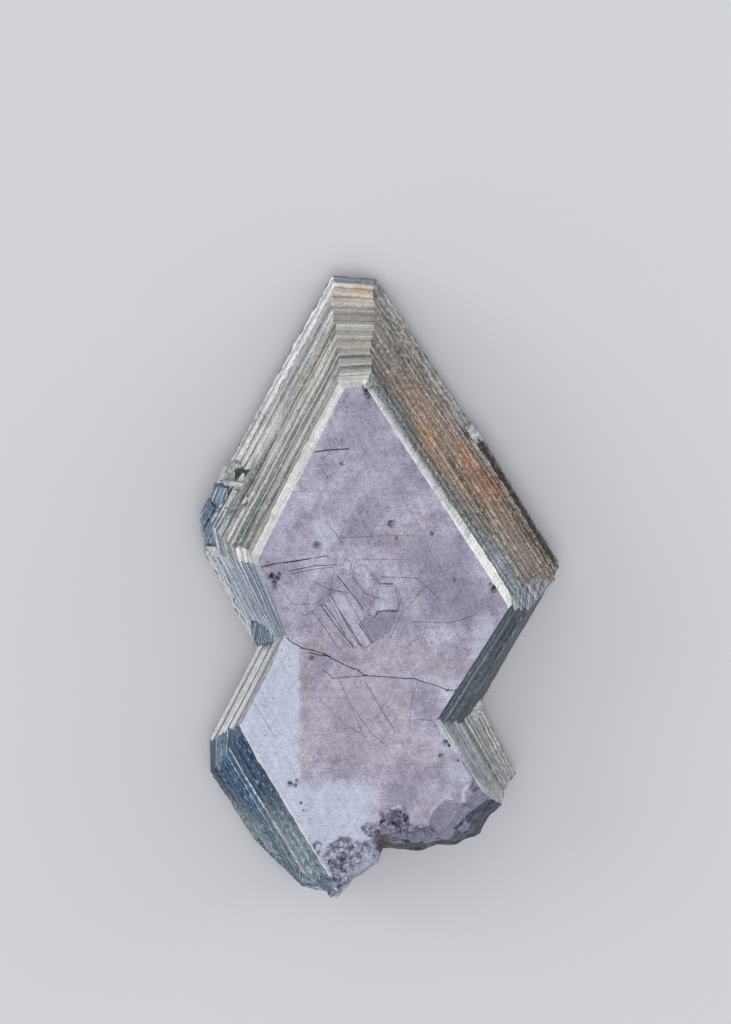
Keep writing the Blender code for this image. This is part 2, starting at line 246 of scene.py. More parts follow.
LONG_STRIP = (
    (-3.84, -0.45), (-3.36, -0.12), (-2.56, -0.45), (-0.48, -4.42), (-0.96, -5.08), (-1.92, -4.26),
)
GROOVED_PLATE = ((-5.28, -1.94), (-4.72, -1.36), (-3.84, -0.95), (-1.76, -5.08), (-2.56, -4.75))
TAN_STRIP = ((-6.4, -4.26), (-6.4, -16.24), (-5.2, -16.24), (-5.0, -4.9))

# Trenches in the front face: path, half width, depth and darkness, which is painted shade in the
# groove
TRENCHES = (
    (SEAM, 0.05, 0.3, 1.0),
    (((-5.44, -5.33), (-4.64, -5.58), (-3.84, -5.62)), 0.035, 0.1, 0.7),
    (((-4.32, -6.82), (-3.6, -7.48), (-1.36, -7.31), (-0.8, -7.15)), 0.03, 0.05, 0.5),
    (((-5.04, 11.28), (-3.84, 11.45), (-2.32, 11.53)), 0.05, 0.1, 0.95),
    (((-9.28, 1.78), (-8.48, 2.02), (-6.88, 2.19), (-5.44, 2.44), (-4.08, 2.69)), 0.05, 0.09, 0.7),
    (((-7.04, 1.45), (-4.96, 1.86), (-3.28, 1.94)), 0.04, 0.06, 0.55),
    (((-6.88, 1.2), (-5.44, 1.53), (-3.36, 1.78)), 0.03, 0.04, 0.4),
    (((-5.12, 0.54), (-4.08, -0.04), (-2.24, -0.37)), 0.03, 0.03, 0.3),
    (((-3.2, 0.95), (-2.08, -0.45), (-1.12, -1.78)), 0.04, 0.06, 0.7),
    (((-3.84, -0.45), (-2.72, -2.44), (-1.36, -4.75)), 0.04, 0.06, 0.6),
    (((-1.52, -2.93), (-0.96, -3.76), (-0.48, -4.5)), 0.05, 0.08, 0.85),
    (((-4.64, -1.36), (-3.36, -3.1), (-1.92, -4.92)), 0.04, 0.06, 0.6),
    (((-4.24, -1.36), (-3.36, -2.6), (-2.56, -3.93)), 0.035, 0.05, 0.5),
    (((-5.12, -2.11), (-4.16, -3.43), (-3.2, -4.92)), 0.035, 0.04, 0.35),
    (((-5.28, -1.94), (-4.72, -1.36), (-4.16, -1.45)), 0.03, 0.04, 0.4),
    (((-0.24, -2.44), (0.0, -1.86), (1.76, -1.86)), 0.045, 0.06, 0.75),
    (((0.16, 0.37), (1.28, 0.37)), 0.035, 0.05, 0.6),
    (((0.32, 0.95), (3.04, 0.87), (4.0, 0.04), (4.8, -0.79)), 0.03, 0.03, 0.4),
    (((-4.08, 5.41), (-3.36, 4.5), (-2.72, 3.51)), 0.03, 0.03, 0.4),
    (((-3.2, 4.17), (0.16, 4.34), (3.04, 4.42)), 0.03, 0.02, 0.22),
    (((-1.6, 2.36), (2.24, 2.4)), 0.03, 0.02, 0.25),
    (((2.88, -2.77), (5.76, -2.85), (7.36, -2.36), (8.0, -2.02)), 0.03, 0.03, 0.42),
    (((0.96, -4.09), (1.92, -2.11), (3.68, 0.04)), 0.03, 0.03, 0.2),
    (((-3.84, -5.91), (-1.04, -12.52), (-0.48, -13.51)), 0.03, 0.02, 0.2),
    (((-1.04, -7.81), (-0.24, -9.21), (0.8, -11.03), (1.44, -11.94)), 0.03, 0.03, 0.35),
    (((-4.64, -9.21), (-2.64, -11.36), (-1.28, -12.11)), 0.03, 0.02, 0.25),
    (((-2.24, -9.63), (-0.48, -12.11), (0.48, -12.93)), 0.03, 0.03, 0.4),
    (((3.2, -7.81), (2.72, -9.21), (2.48, -11.69)), 0.03, 0.02, 0.25),
    (((4.32, -11.03), (3.36, -10.87), (2.56, -11.03)), 0.03, 0.02, 0.3),
    (((-3.84, 11.28), (-4.8, 10.12), (-4.0, 9.13), (-3.2, 9.79)), 0.03, 0.02, 0.3),
    (((-9.9, -9.6), (-8.6, -11.8), (-8.1, -12.6)), 0.03, 0.02, 0.3),
)

# Thin plates on the front face: outline and rise
PLATES = (
    (LEFT_PLATE, -0.06),
    (MIDDLE_PLATE, 0.08),
    (LIGHT_PLATE, 0.03),
    (SHADE_BELOW, -0.08),
    (SHADE_INSIDE, -0.05),
    (LONG_STRIP, 0.1),
    (BRIGHT_FACET, 0.08),
    (GROOVED_PLATE, -0.05),
)
PLATE_EDGE = 0.05
# How much wider than its slope the painted shade line of a trench is
TRENCH_DARK = 1.6

# Pits in the front face: x, y, radius and depth
PITS = (
    (1.04, 5.37, 0.24, 0.24), (1.48, 4.17, 0.12, 0.12), (-8.5, 0.95, 0.24, 0.25),
    (-8.05, 0.8, 0.22, 0.22), (-8.3, 0.45, 0.2, 0.2), (-7.9, 1.15, 0.13, 0.15),
    (-8.2, 0.1, 0.12, 0.12), (9.28, -0.04, 0.26, 0.3), (8.96, 0.3, 0.12, 0.12),
    (-7.04, -16.24, 0.2, 0.22), (-6.65, -16.4, 0.14, 0.16), (-6.5, -16.0, 0.12, 0.12),
    (-5.3, -5.8, 0.16, 0.14), (5.44, -12.77, 0.17, 0.2), (5.75, -13.05, 0.14, 0.18),
    (5.0, -13.9, 0.16, 0.12), (6.4, -14.3, 0.12, 0.12), (4.3, 4.5, 0.12, 0.12),
    (-6.2, -17.9, 0.12, 0.14), (-6.0, -18.5, 0.1, 0.12), (-2.9, 10.3, 0.12, 0.1),
    (-5.6, -21.2, 0.2, 0.2), (-5.2, -21.6, 0.16, 0.16), (-4.9, 3.6, 0.3, 0.07),
    (6.1, 0.8, 0.1, 0.1), (0.3, 8.0, 0.08, 0.08), (5.0, -5.4, 0.08, 0.1), (6.3, -8.0, 0.08, 0.1),
)

# How uneven the edge of a pit is, and the size of its lumps
PIT_UNEVEN, PIT_LUMP = 0.8, 0.16
# How far pits, rough places and tones reach past their given size
SPOT_REACH = 1.25

# Tilted breaks in the front face: outline, line that the break starts from, and slope
FACETS = (
    (
        ((4.32, -18.5), (5.36, -17.48), (6.72, -17.98), (7.2, -20.5), (3.6, -21.2), (3.9, -19.9)),
        ((4.1, -18.7), (5.36, -17.3)), 0.24,
    ),
    (
        ((6.8, -16.9), (7.6, -16.0), (9.2, -16.6), (8.3, -17.6), (6.9, -17.9)),
        ((6.8, -17.9), (7.5, -15.9)), 0.16,
    ),
    (
        ((0.2, -19.2), (0.8, -18.47), (1.76, -18.14), (2.5, -19.2), (2.3, -21.2), (-0.4, -21.0)),
        ((0.2, -18.9), (2.4, -18.3)), 0.2,
    ),
    (
        ((2.1, -20.2), (3.2, -19.7), (4.1, -20.2), (4.0, -21.2), (2.0, -21.2)),
        ((2.0, -20.0), (4.2, -19.8)), 0.45,
    ),
    (
        ((-4.6, -22.0), (-3.2, -21.6), (-1.6, -22.4), (-1.6, -25.5), (-4.6, -26.5)),
        ((-4.8, -22.2), (-1.4, -21.9)), 0.12,
    ),
)

# Rough places on the front face: centre, reach, depth of the relief
ROUGH = (
    ((-2.6, -22.2), (1.7, 1.3), 0.28),
    ((-3.1, -24.3), (1.0, 1.6), 0.34),
    ((1.3, -19.3), (1.0, 1.0), 0.22),
    ((3.0, -20.3), (1.6, 0.5), 0.2),
    ((-0.5, -20.1), (0.8, 0.6), 0.16),
    ((7.9, -16.6), (0.6, 0.6), 0.16),
    ((-0.8, 16.5), (0.35, 0.8), 0.35),
    ((-5.1, -21.6), (0.5, 0.7), 0.16),
)

# How uneven the edge of a rough place is, the size of its lumps, and the sizes of its facets
ROUGH_UNEVEN, ROUGH_LUMP = 0.45, 0.5
LARGE_FACET, SMALL_FACET = 0.7, 0.33
# How much of a facet's height is its own step and how much its lean, and how thin its edges are
FACET_STEP, FACET_LEAN, FACET_EDGE = 0.5, 0.4, 6.0
FACET_SPREAD = 7.1
FULL_TURN = 6.28
# Loose grains lie where the roughness is over this, and have these proportions
ROUGH_FROM = 0.55
GRAIN_SHAPE = (1.0, 0.8, 0.7)

# Chips: centre, radius and squash along each axis
CHIPS = (
    ((-0.75, 17.1, 10.2), 0.55, (1.0, 1.5, 0.9)),
    ((-11.3, 6.0, 6.1), 0.95, (1.0, 0.75, 0.7)),
    ((-2.3, -23.9, 10.25), 0.85, (1.1, 1.4, 0.6)),
    ((-0.3, -21.3, 10.2), 0.55, (1.0, 1.0, 0.7)),
    ((3.9, -20.5, 10.1), 0.7, (1.7, 0.7, 0.6)),
    ((-8.4, 7.3, 10.35), 0.3, (0.8, 1.6, 0.7)),
    ((10.9, -18.8, 4.5), 1.0, (1.0, 1.0, 5.0)),
    ((-8.95, 5.45, 10.25), 0.24, (1.6, 0.6, 1.2)),
    ((10.6, -1.1, 10.3), 0.22, (1.2, 0.8, 1.0)),
)
CHIP_ROUGHNESS = 0.22
CHIP_LUMPS = 2.2

# Tones on the front face: which tone, centre, reach and strength
# Painted light: the broad pale, warm and dusky tones are partly painted sheen that changes across
# the face, and the dusky tone is partly painted shade.
TONES = (
    ("pale", (-8.6, -10.5), (2.3, 6.0), 1.0),
    ("pale", (-4.6, -18.8), (4.2, 2.2), 1.0),
    ("pale", (-4.5, -22.0), (2.2, 2.0), 0.8),
    ("pale", (5.6, -11.8), (0.9, 2.4), 0.6),
    ("pale", (6.4, -9.0), (1.6, 1.9), 0.6),
    ("pale", (8.6, -4.4), (1.2, 2.4), 0.6),
    ("pale", (-8.6, 3.4), (1.2, 1.2), 0.35),
    ("pale", (-4.2, 4.6), (1.4, 1.2), 0.5),
    ("pale", (6.6, -15.2), (1.3, 1.0), 0.5),
    ("warm", (-1.4, -11.0), (4.6, 5.0), 0.9),
    ("warm", (3.2, -14.2), (3.0, 2.4), 0.5),
    ("warm", (-3.0, -4.2), (3.6, 1.8), 0.5),
    ("warm", (1.6, -5.6), (4.0, 1.6), 0.4),
    ("tan", (5.4, -6.6), (1.8, 1.0), 0.5),
    ("tan", (4.4, -18.2), (1.2, 1.2), 0.5),
    ("tan", (-5.0, -5.2), (1.2, 0.8), 0.5),
    ("tan", (3.2, 4.0), (3.0, 2.0), 0.25),
    ("dusk", (-1.4, 13.6), (2.0, 2.2), 0.55),
    ("dusk", (0.6, 8.6), (4.0, 2.6), 0.3),
    ("dusk", (6.2, -0.8), (3.2, 2.2), 0.75),
    ("dusk", (4.4, 2.8), (3.2, 2.0), 0.6),
    ("dusk", (1.6, -17.4), (1.4, 1.4), 0.6),
    ("dusk", (1.6, -19.2), (1.1, 1.1), 0.9),
    ("dusk", (-2.2, -12.0), (1.8, 3.6), 0.3),
    ("dusk", (3.6, -15.4), (1.6, 0.6), 0.3),
    ("dusk", (-4.9, 3.6), (0.5, 0.35), 0.8),
)

# Where the broken lower edge is stained brown: X and reach
STAIN = (0.3, 0.9)

# Tones that fill a shape: which tone, outline, width of the soft edge and strength
# Painted light: the bright facet is a painted highlight, the dusky tone in the shade shapes and the
# grooved plate is painted shade, and the pale of the light plate and the long strip is partly
# painted sheen.
TONE_SHAPES = (
    ("pale", BRIGHT_FACET, 0.1, 1.0),
    ("pale", LIGHT_PLATE, 0.2, 0.32),
    ("pale", LONG_STRIP, 0.2, 0.3),
    ("dusk", SHADE_BELOW, 0.2, 1.0),
    ("dusk", SHADE_INSIDE, 0.4, 0.6),
    ("dusk", SHADE_ABOVE, 0.15, 0.9),
    ("dusk", GROOVED_PLATE, 0.3, 0.35),
    ("tan", TAN_STRIP, 1.0, 0.7),
)
# Strength, size and seed of the noise that makes the tones uneven
TONE_NOISE = ((0.22, 1.6, 5.0), (0.12, 0.5, 9.0))
# Lines that the pale zone of the lower crystal lies beyond, and where its tones stay as they are
PALE_EDGE_X = -6.3
PALE_EDGE_Y = -16.2
TONES_KEPT_X = 3.0

# Pieces grown or broken on the sides: material, outline, height of the foot, height of the top,
# fall of the top for each millimetre to the left, and roughness.
PIECES = (
    ("block", ((-13.12, 6.54), (-12.0, 6.62), (-12.1, 5.63), (-12.8, 5.1), (-13.44, 5.38)),
     1.9, 3.7, 0.3, 0.05),
    ("block", ((-12.88, 4.89), (-12.06, 4.81), (-12.38, 3.15), (-13.1, 1.67), (-13.9, 1.83),
               (-13.76, 3.32)), 1.6, 3.6, 0.3, 0.05),
    ("shard", ((-12.88, 6.99), (-12.4, 8.1), (-11.44, 8.55), (-10.32, 7.98), (-10.6, 6.91),
               (-11.24, 6.58)), 1.9, 3.6, 0.35, 0.09),
    ("pitted", ((-11.52, 8.0), (-10.3, 8.2), (-9.84, 7.58), (-10.48, 6.92), (-11.52, 7.08)),
     2.4, 4.3, 0.5, 0.12),
    ("shard", ((-12.48, 7.11), (-11.68, 7.26), (-10.22, 7.11), (-10.22, 6.85), (-12.32, 6.78)),
     2.4, 4.6, 0.3, 0.03),
    ("shard", ((-11.52, 6.59), (-11.2, 6.51), (-12.0, 4.94), (-12.32, 5.18)), 2.0, 4.3, 0.2, 0.03),
    ("shard", ((-12.25, 5.02), (-11.98, 4.85), (-12.48, 3.45), (-12.75, 3.61)),
     2.0, 4.2, 0.2, 0.03),
    ("block", ((-14.25, 3.92), (-13.52, 5.3), (-13.12, 4.58), (-13.76, 3.43), (-13.95, 2.93)),
     1.5, 2.7, 0.2, 0.1),
    ("block", ((-11.92, 4.33), (-11.44, 4.58), (-11.28, 4.0), (-11.52, 3.01), (-11.92, 2.68),
               (-12.16, 3.34)), 3.0, 5.55, 0.4, 0.02),
    ("shard", ((-13.9, 1.6), (-13.12, 1.68), (-12.56, 1.35), (-12.72, 0.77), (-13.44, 0.77)),
     2.0, 3.7, 0.4, 0.07),
    ("shard", ((-11.28, 2.7), (-10.8, 2.95), (-10.32, 2.45), (-10.48, 1.87), (-11.04, 2.04)),
     5.0, 8.0, 1.2, 0.06),
    ("block", ((-10.24, -4.58), (-9.28, -4.31), (-8.08, -3.83), (-8.0, -4.41), (-8.96, -5.5),
               (-9.68, -6.52), (-10.08, -5.9)), 2.0, 8.0, 2.0, 0.06),
    ("shard", ((6.9, 11.3), (7.5, 11.5), (8.1, 10.75), (8.5, 10.2), (8.3, 9.75), (7.7, 10.1)),
     1.0, 1.9, -0.45, 0.1),
    ("shard", ((7.52, -12.02), (8.16, -11.27), (8.48, -11.69), (8.32, -12.51), (7.92, -13.01),
               (7.36, -13.34), (7.04, -13.01)), 1.2, 2.5, -0.9, 0.05),
    ("shard", ((8.56, -16.83), (9.2, -16.92), (9.68, -17.62), (9.6, -18.37), (9.04, -18.52),
               (8.48, -17.69)), 3.0, 4.8, -1.5, 0.14),
)
# The strip grown on the upper right side: outline, foot, top and roughness
SHOULDER = (
    ((7.5, 9.5), (8.0, 10.3), (8.6, 9.9), (14.25, 0.3), (14.3, -0.6), (13.5, -1.9), (12.6, -0.7)),
    1.7, 5.3, 0.08,
)
# How far its top falls for each millimetre along X and Y
SHOULDER_FALL = (-0.5, -0.3)
# Direction of the growth lines on the pieces, and the sharpest turn that is shaded round
PIECE_GRAIN = (0.42, 0.9)
PIECE_SHARP = 40
BODY_SHARP = 28
PIECE_VOXEL = 0.075
# Size of the lumps on a piece, and the strength and size of the finer ones beside it
PIECE_NOISE = 0.45
PIECE_FINE = (0.5, 0.35)

# Recesses in the flat back: centre, reach along X and Y, and depth
BACK_STEPS = (
    ((-4.2, 9.5), 5.2, 2.4, 0.3),
    ((6.2, -6.4), 3.4, 2.2, 0.25),
    ((-5.6, -14.6), 2.6, 3.2, 0.3),
)
BACK_SIDES = 5
BACK_UNEVEN = 0.2
BACK_SEED = 40

# The camera looks at the front face from a little above, as in the photograph
CAMERA_TILT = math.radians(14.5)
CAMERA_TARGET = (-1.0, 8.17, 10.4)
CAMERA_DISTANCE = 2.0
PICTURE_HEIGHT = 0.08192
SENSOR = 36.0


# Outline and rings


def layer_depths(rng):
    """Depths of the rings below the front face, and what each ring ends."""
    thick = [rng.uniform(*LAYER_SHARES) for _ in range(LAYER_COUNT)]
    scale = (WIDEST_DEPTH - BEVEL_DEPTH) / sum(thick)
    depths = [(0.0, "front"), (BEVEL_DEPTH, "bevel")]
    depth = BEVEL_DEPTH
    for size in thick:
        depth += size * scale
        depths.append((depth - LEDGE_DROP, "wall"))
        depths.append((depth, "ledge"))
    rise = (THICKNESS - WIDEST_DEPTH) / (UNDERSIDE_LEDGES + 1)
    for _ in range(UNDERSIDE_LEDGES):
        depth += rise
        depths.append((depth, "under_wall"))
        depths.append((depth + LEDGE_DROP, "under_ledge"))
    depths.append((THICKNESS, "back"))
    return depths


def side_profile(side, depths, rng):
    """How much of its full spread a side has reached at each ring."""
    _, bevel, lean, chance, _ = SIDES[side]
    weights = []
    for _, kind in depths:
        wide = rng.uniform(*LEDGE_SHARES) if rng.random() < chance else FLAT_LEDGE_SHARE
        weights.append(wide if kind == "ledge" else 0.0)
    total = sum(weights)
    reached = []
    share = 0.0
    before = 0.0
    for (depth, kind), weight in zip(depths, weights):
        if kind == "bevel":
            share = bevel
        elif kind == "wall":
            share += lean * (depth - before) / WIDEST_DEPTH
        elif kind == "ledge":
            share += (1.0 - bevel - lean) * weight / total
        elif kind == "under_ledge":
            share -= UNDERSIDE_DRAW_IN / UNDERSIDE_LEDGES
        reached.append(share)
        before = depth
    top = max(reached)
    return [value / top for value in reached]


def break_profile(depths):
    """The broken end bulges out near the front and then falls straight to the back."""
    return [min(1.0, (depth / BREAK_REACH_DEPTH) ** BREAK_CURVE) for depth, _ in depths]


def corner_points(profiles, count):
    """Each corner of the outline at each ring, where the two sides beside it meet."""
    fronts = [Vector(corner[1]) for corner in CORNERS]
    corners = []
    for index, (side, front, widest) in enumerate(CORNERS):
        before = CORNERS[index - 1][0]
        ahead = (fronts[(index + 1) % len(CORNERS)] - fronts[index]).normalized()
        behind = (fronts[index] - fronts[index - 1]).normalized()
        reach = Vector(widest) - Vector(front)
        turn = ahead.cross(behind)
        if side == before or abs(turn) < SHARP_TURN:
            with_before = with_after = reach * 0.5
        else:
            with_before = ahead * (reach.cross(behind) / turn)
            with_after = behind * (ahead.cross(reach) / turn)
        corners.append([
            Vector(front) + with_before * profiles[before][ring] + with_after * profiles[side][ring]
            for ring in range(count)
        ])
    return corners


def outline_ring(ring, corners, wander):
    """The points of one ring, with the ends of the sides and the points between them."""
    points = []
    for index, (side, _, _) in enumerate(CORNERS):
        start = corners[index][ring]
        end = corners[(index + 1) % len(CORNERS)][ring]
        along = (end - start).normalized()
        outward = Vector((-along.y, along.x))
        pieces = SIDES[side][0]
        points.append(start + outward * wander[index][ring][0])
        for piece in range(1, pieces):
            share = piece / pieces
            points.append(start.lerp(end, share) + outward * wander[index][ring][piece])
    return points


def edge_wander(depths, rng):
    """How far each ring wanders from its straight side, at each point along it."""
    wander = []
    for side, _, _ in CORNERS:
        pieces, _, _, _, reach = SIDES[side]
        steady = [rng.uniform(-reach, reach) for _ in range(pieces)]
        rings = []
        for depth, kind in depths:
            grow = min(1.0, depth / WANDER_FADE_DEPTH)
            play = WANDER_LOOSE * reach
            loose = [(value + rng.uniform(-play, play)) * grow for value in steady]
            if kind in ("ledge", "under_ledge"):
                kept = WANDER_KEPT
                loose = [kept * old + (1.0 - kept) * new for old, new in zip(rings[-1], loose)]
            if side != "break":
                loose[0] = 0.0
            rings.append(loose)
        wander.append(rings)
    return wander


def growth_rings():
    """The layers: their depths and kinds, and the outline of each as an array."""
    rng = random.Random(SEED)
    depths = layer_depths(rng)
    profiles = {side: side_profile(side, depths, rng) for side in SIDES}
    profiles["break"] = break_profile(depths)
    corners = corner_points(profiles, len(depths))
    wander = edge_wander(depths, rng)
    for (side, _, _), shown in zip(CORNERS, wander):
        if side != "break":
            shown[:] = [[WANDER_SHOWN * value for value in ring] for ring in shown]
    rings = np.array([outline_ring(ring, corners, wander) for ring in range(len(depths))])
    return depths, rings


def side_of_points():
    """The name of the side that each outline point starts."""
    return [side for side, _, _ in CORNERS for _ in range(SIDES[side][0])]


def shape_bevels(rings, sides):
    """Makes the bevel of some sides narrower or wider, evenly from one end to the other."""
    for side, (start_width, end_width) in BEVEL_WIDTHS.items():
        owned = [index for index, name in enumerate(sides) if name == side]
        for number, index in enumerate(owned):
            width = start_width + (end_width - start_width) * number / len(owned)
            rings[1, index] = rings[0, index] + width * (rings[1, index] - rings[0, index])


def divided_levels(depths, rings):
    """Finer rings between the layers: outline, depth, relief and the kind that each ends."""
    outlines, levels, relief, kinds = [rings[0]], [0.0], [0.0], ["front"]
    for index in range(1, len(depths)):
        depth, kind = depths[index]
        start = depths[index - 1][0]
        pieces = LEDGE_PIECES if "ledge" in kind else max(2, round((depth - start) / WALL_PIECE))
        for piece in range(1, pieces + 1):
            share = piece / pieces
            outlines.append(rings[index - 1] * (1.0 - share) + rings[index] * share)
            levels.append(start + (depth - start) * share)
            ends = piece == pieces
            relief.append({"ledge": 1.0, "wall": -1.0, "bevel": 0.6}.get(kind, 0.0) * ends)
            kinds.append(kind)
    return np.array(outlines), np.array(levels), np.array(relief), kinds


def outline_shares(sides, lengths):
    """For each piece of the outline, how far along its side it starts and ends, from 0 to 1."""
    ends = [None] * len(sides)
    start = 0
    while start < len(sides):
        stop = start + 1
        while stop < len(sides) and sides[stop] == sides[start]:
            stop += 1
        reached = np.concatenate([[0.0], np.cumsum(lengths[start:stop])]) / sum(lengths[start:stop])
        if sides[start] in CORNER_FACETS:
            reached[:] = 1.0
        elif sides[start] == "tip_left":
            reached[:] = 0.0
        ends[start:stop] = list(zip(reached[:-1], reached[1:]))
        start = stop
    return ends


def divided_along(outlines, sides):
    """Finer points along each ring, the side that each starts, and the outward directions."""
    middle = outlines[len(outlines) // 2]
    following = np.roll(np.arange(len(sides)), -1)
    lengths = np.linalg.norm(middle[following] - middle, axis=1)
    directions = outlines[-1][following] - outlines[-1]
    outward = np.stack([-directions[:, 1], directions[:, 0]], axis=1)
    outward /= np.linalg.norm(outward, axis=1, keepdims=True)
    columns, owners, normals, along, shares = [], [], [], [], []
    distance = 0.0
    ends = outline_shares(sides, lengths)
    for index, side in enumerate(sides):
        pieces = max(1, math.ceil(lengths[index] / ALONG_PIECE))
        for piece in range(pieces):
            share = piece / pieces
            columns.append(outlines[:, index] * (1 - share) + outlines[:, following[index]] * share)
            owners.append(side)
            normals.append(outward[index] if piece else outward[index] + outward[index - 1])
            along.append(distance + lengths[index] * share)
            shares.append(ends[index][0] * (1.0 - share) + ends[index][1] * share)
        distance += lengths[index]
    normals = np.array(normals)
    normals /= np.linalg.norm(normals, axis=1, keepdims=True)
    return np.stack(columns, axis=1), owners, normals, np.array(along), shares


def spacings(columns, levels, normals, owners):
    """How far across its side each piece of each ring starts and ends: in millimetres over its
    surface, and as a share of what shows from above."""
    owners = np.array(owners)
    across, seen = np.zeros((2, 2, *columns.shape[:2]))
    for side in SIDES:
        mine = owners == side
        reach = ((columns[:, mine] - columns[0, mine]) * normals[mine]).sum(axis=2).mean(axis=1)
        steps = np.abs(np.diff(reach, prepend=0.0)) + WALL_SHARE * np.diff(levels, prepend=0.0)
        lean = SIGHT_LEAN * normals[mine, 1].mean()
        shown = np.maximum.accumulate(reach + lean * levels)
        across[:, :, mine] = np.cumsum(steps)[None, :, None]
        seen[:, :, mine] = (shown / shown.max())[None, :, None]
        if side == CUT_SIDE:
            sight, widest = normals[mine].mean(axis=0), shown.max()
            known = np.cumsum(steps), shown / widest
    mine = np.flatnonzero(owners == CUT_FACET)
    for end in (0, 1):
        reach = (columns[:, mine + end] - columns[0, mine[0]]) @ sight
        share = np.clip((reach + SIGHT_LEAN * sight[1] * levels[:, None]) / widest, 0.0, 1.0)
        seen[end][:, mine] = share
        across[end][:, mine] = np.interp(share, known[1], known[0])
    return across, seen


def nicked(columns, levels, normals, owners, along, shares):
    """Lets the outer line of each bevel wander, and steps it in near the left corner."""
    strength, finer = NICK_FINE
    wander = np.array([noise.noise(Vector((place / NICK_LENGTH, 0.0, SEED)))
                       + strength * noise.noise(Vector((finer * place / NICK_LENGTH, 0.0, SEED)))
                       for place in along]) * NICK
    near = (np.array(owners) == "upper_left") & (np.array(shares) < BEVEL_STEP[0])
    wander -= BEVEL_STEP[1] * near
    wander *= np.isin(owners, BEVELLED)
    shown = smooth(levels, 0.0, BEVEL_DEPTH) * smooth(levels, NICK_END, BEVEL_DEPTH)
    return columns + shown[:, None, None] * (wander[:, None] * normals)[None]


# Shapes on the flat faces


def inside(points, outline):
    """Which of the points lie inside an outline."""
    found = np.zeros(len(points), bool)
    corners = np.array(outline)
    for (x0, y0), (x1, y1) in zip(corners, np.roll(corners, -1, axis=0)):
        crosses = (y0 > points[:, 1]) != (y1 > points[:, 1])
        rise = y1 - y0 if y1 != y0 else 1.0
        found ^= crosses & (points[:, 0] < (x1 - x0) * (points[:, 1] - y0) / rise + x0)
    return found


def distance_to(points, path):
    """Distance from each point to the nearest piece of a path."""
    nearest = np.full(len(points), np.inf)
    for start, end in zip(np.array(path[:-1]), np.array(path[1:])):
        line = end - start
        share = np.clip((points - start) @ line / (line @ line), 0.0, 1.0)
        away = np.linalg.norm(points - start - share[:, None] * line, axis=1)
        nearest = np.minimum(nearest, away)
    return nearest


def edge_distance(points, outline):
    """Distance from each point to the nearest edge of an outline."""
    return distance_to(points, outline + outline[:1])


def from_centre(points, centre, reach):
    """Distance from a centre, as a share of the reach each way."""
    return np.hypot((points[:, 0] - centre[0]) / reach[0], (points[:, 1] - centre[1]) / reach[1])


def smooth(value, low, high):
    """A soft change from 0 to 1 between two values."""
    share = np.clip((value - low) / (high - low), 0.0, 1.0)
    return share * share * (3.0 - 2.0 * share)


def grain(points, size, seed):
    """Smooth noise between -1 and 1 at each point, with lumps of the given size."""
    return np.array([noise.noise(Vector((x / size, y / size, seed))) for x, y in points])


def cells(points, size, seed):
    """Tilted facets about the given size: their height from 0 to 1, and how near an edge is."""
    heights, edges = [], []
    for x, y in points:
        distances, centres = noise.voronoi(Vector((x / size, y / size, seed)))
        tilt = noise.cell(centres[0] * FACET_SPREAD)
        lean = (x / size - centres[0].x) * math.cos(FULL_TURN * tilt)
        lean += (y / size - centres[0].y) * math.sin(FULL_TURN * tilt)
        heights.append(FACET_STEP * tilt + FACET_LEAN * lean)
        edges.append(1.0 - min(1.0, FACET_EDGE * (distances[1] - distances[0])))
    return np.array(heights), np.array(edges)


def front_relief(points):
    """Height, darkness and roughness of the front face at each point; the darkness is painted shade
    in trenches, pits and cracks.
    """
    height, dark, rough = np.zeros((3, len(points)))
    below = inside(points, SEAM + FIELD_OUTSIDE)
    fall = STEP_DOWN - STEP_DOWN_SLOPE * (points[:, 1] - STEP_DOWN_START)
    height -= np.where(below, fall, 0.0)
    for outline, rise in PLATES:
        edge = smooth(edge_distance(points, outline), 0.0, PLATE_EDGE)
        height += rise * np.where(inside(points, outline), edge, 0.0)
    for outline, (start, end), slope in FACETS:
        along = (np.array(end) - start) / np.linalg.norm(np.array(end) - start)
        past = (points - start) @ np.array((along[1], -along[0]))
        height -= slope * np.where(inside(points, outline), np.maximum(past, 0.0), 0.0)
    for path, half_width, depth, darkness in TRENCHES:
        near = np.clip(1.0 - distance_to(points, path) / half_width, 0.0, 1.0)
        height -= depth * near
        # Painted shade along the trench.
        dark = np.maximum(dark, darkness * np.minimum(1.0, TRENCH_DARK * near))
    for x, y, radius, depth in PITS:
        away = np.hypot(points[:, 0] - x, points[:, 1] - y)
        close = away < 2.0 * radius
        if close.any():
            uneven = PIT_UNEVEN * grain(points[close], PIT_LUMP, x)
            near = np.clip(SPOT_REACH - away[close] / radius + uneven, 0.0, 1.0)
            height[close] -= depth * near
            # Painted shade in the pit.
            dark[close] = np.maximum(dark[close], near)
    for centre, reach, depth in ROUGH:
        away = from_centre(points, centre, reach)
        close = away < 1.5
        if close.any():
            uneven = ROUGH_UNEVEN * grain(points[close], ROUGH_LUMP, centre[0])
            near = smooth(SPOT_REACH - away[close] + uneven, 0.0, 0.3)
            large, large_edge = cells(points[close], LARGE_FACET, centre[1])
            small, small_edge = cells(points[close], SMALL_FACET, 3.0)
            height[close] -= depth * near * (large + 0.4 * small + 0.35 * large_edge)
            rough[close] = np.maximum(rough[close], near)
            # Painted shade in the cracks between the facets.
            lines = np.maximum(0.9 * large_edge, 0.6 * small_edge)
            dark[close] = np.maximum(dark[close], near * smooth(lines, 0.4, 1.0) * 0.5)
    return height, dark, rough


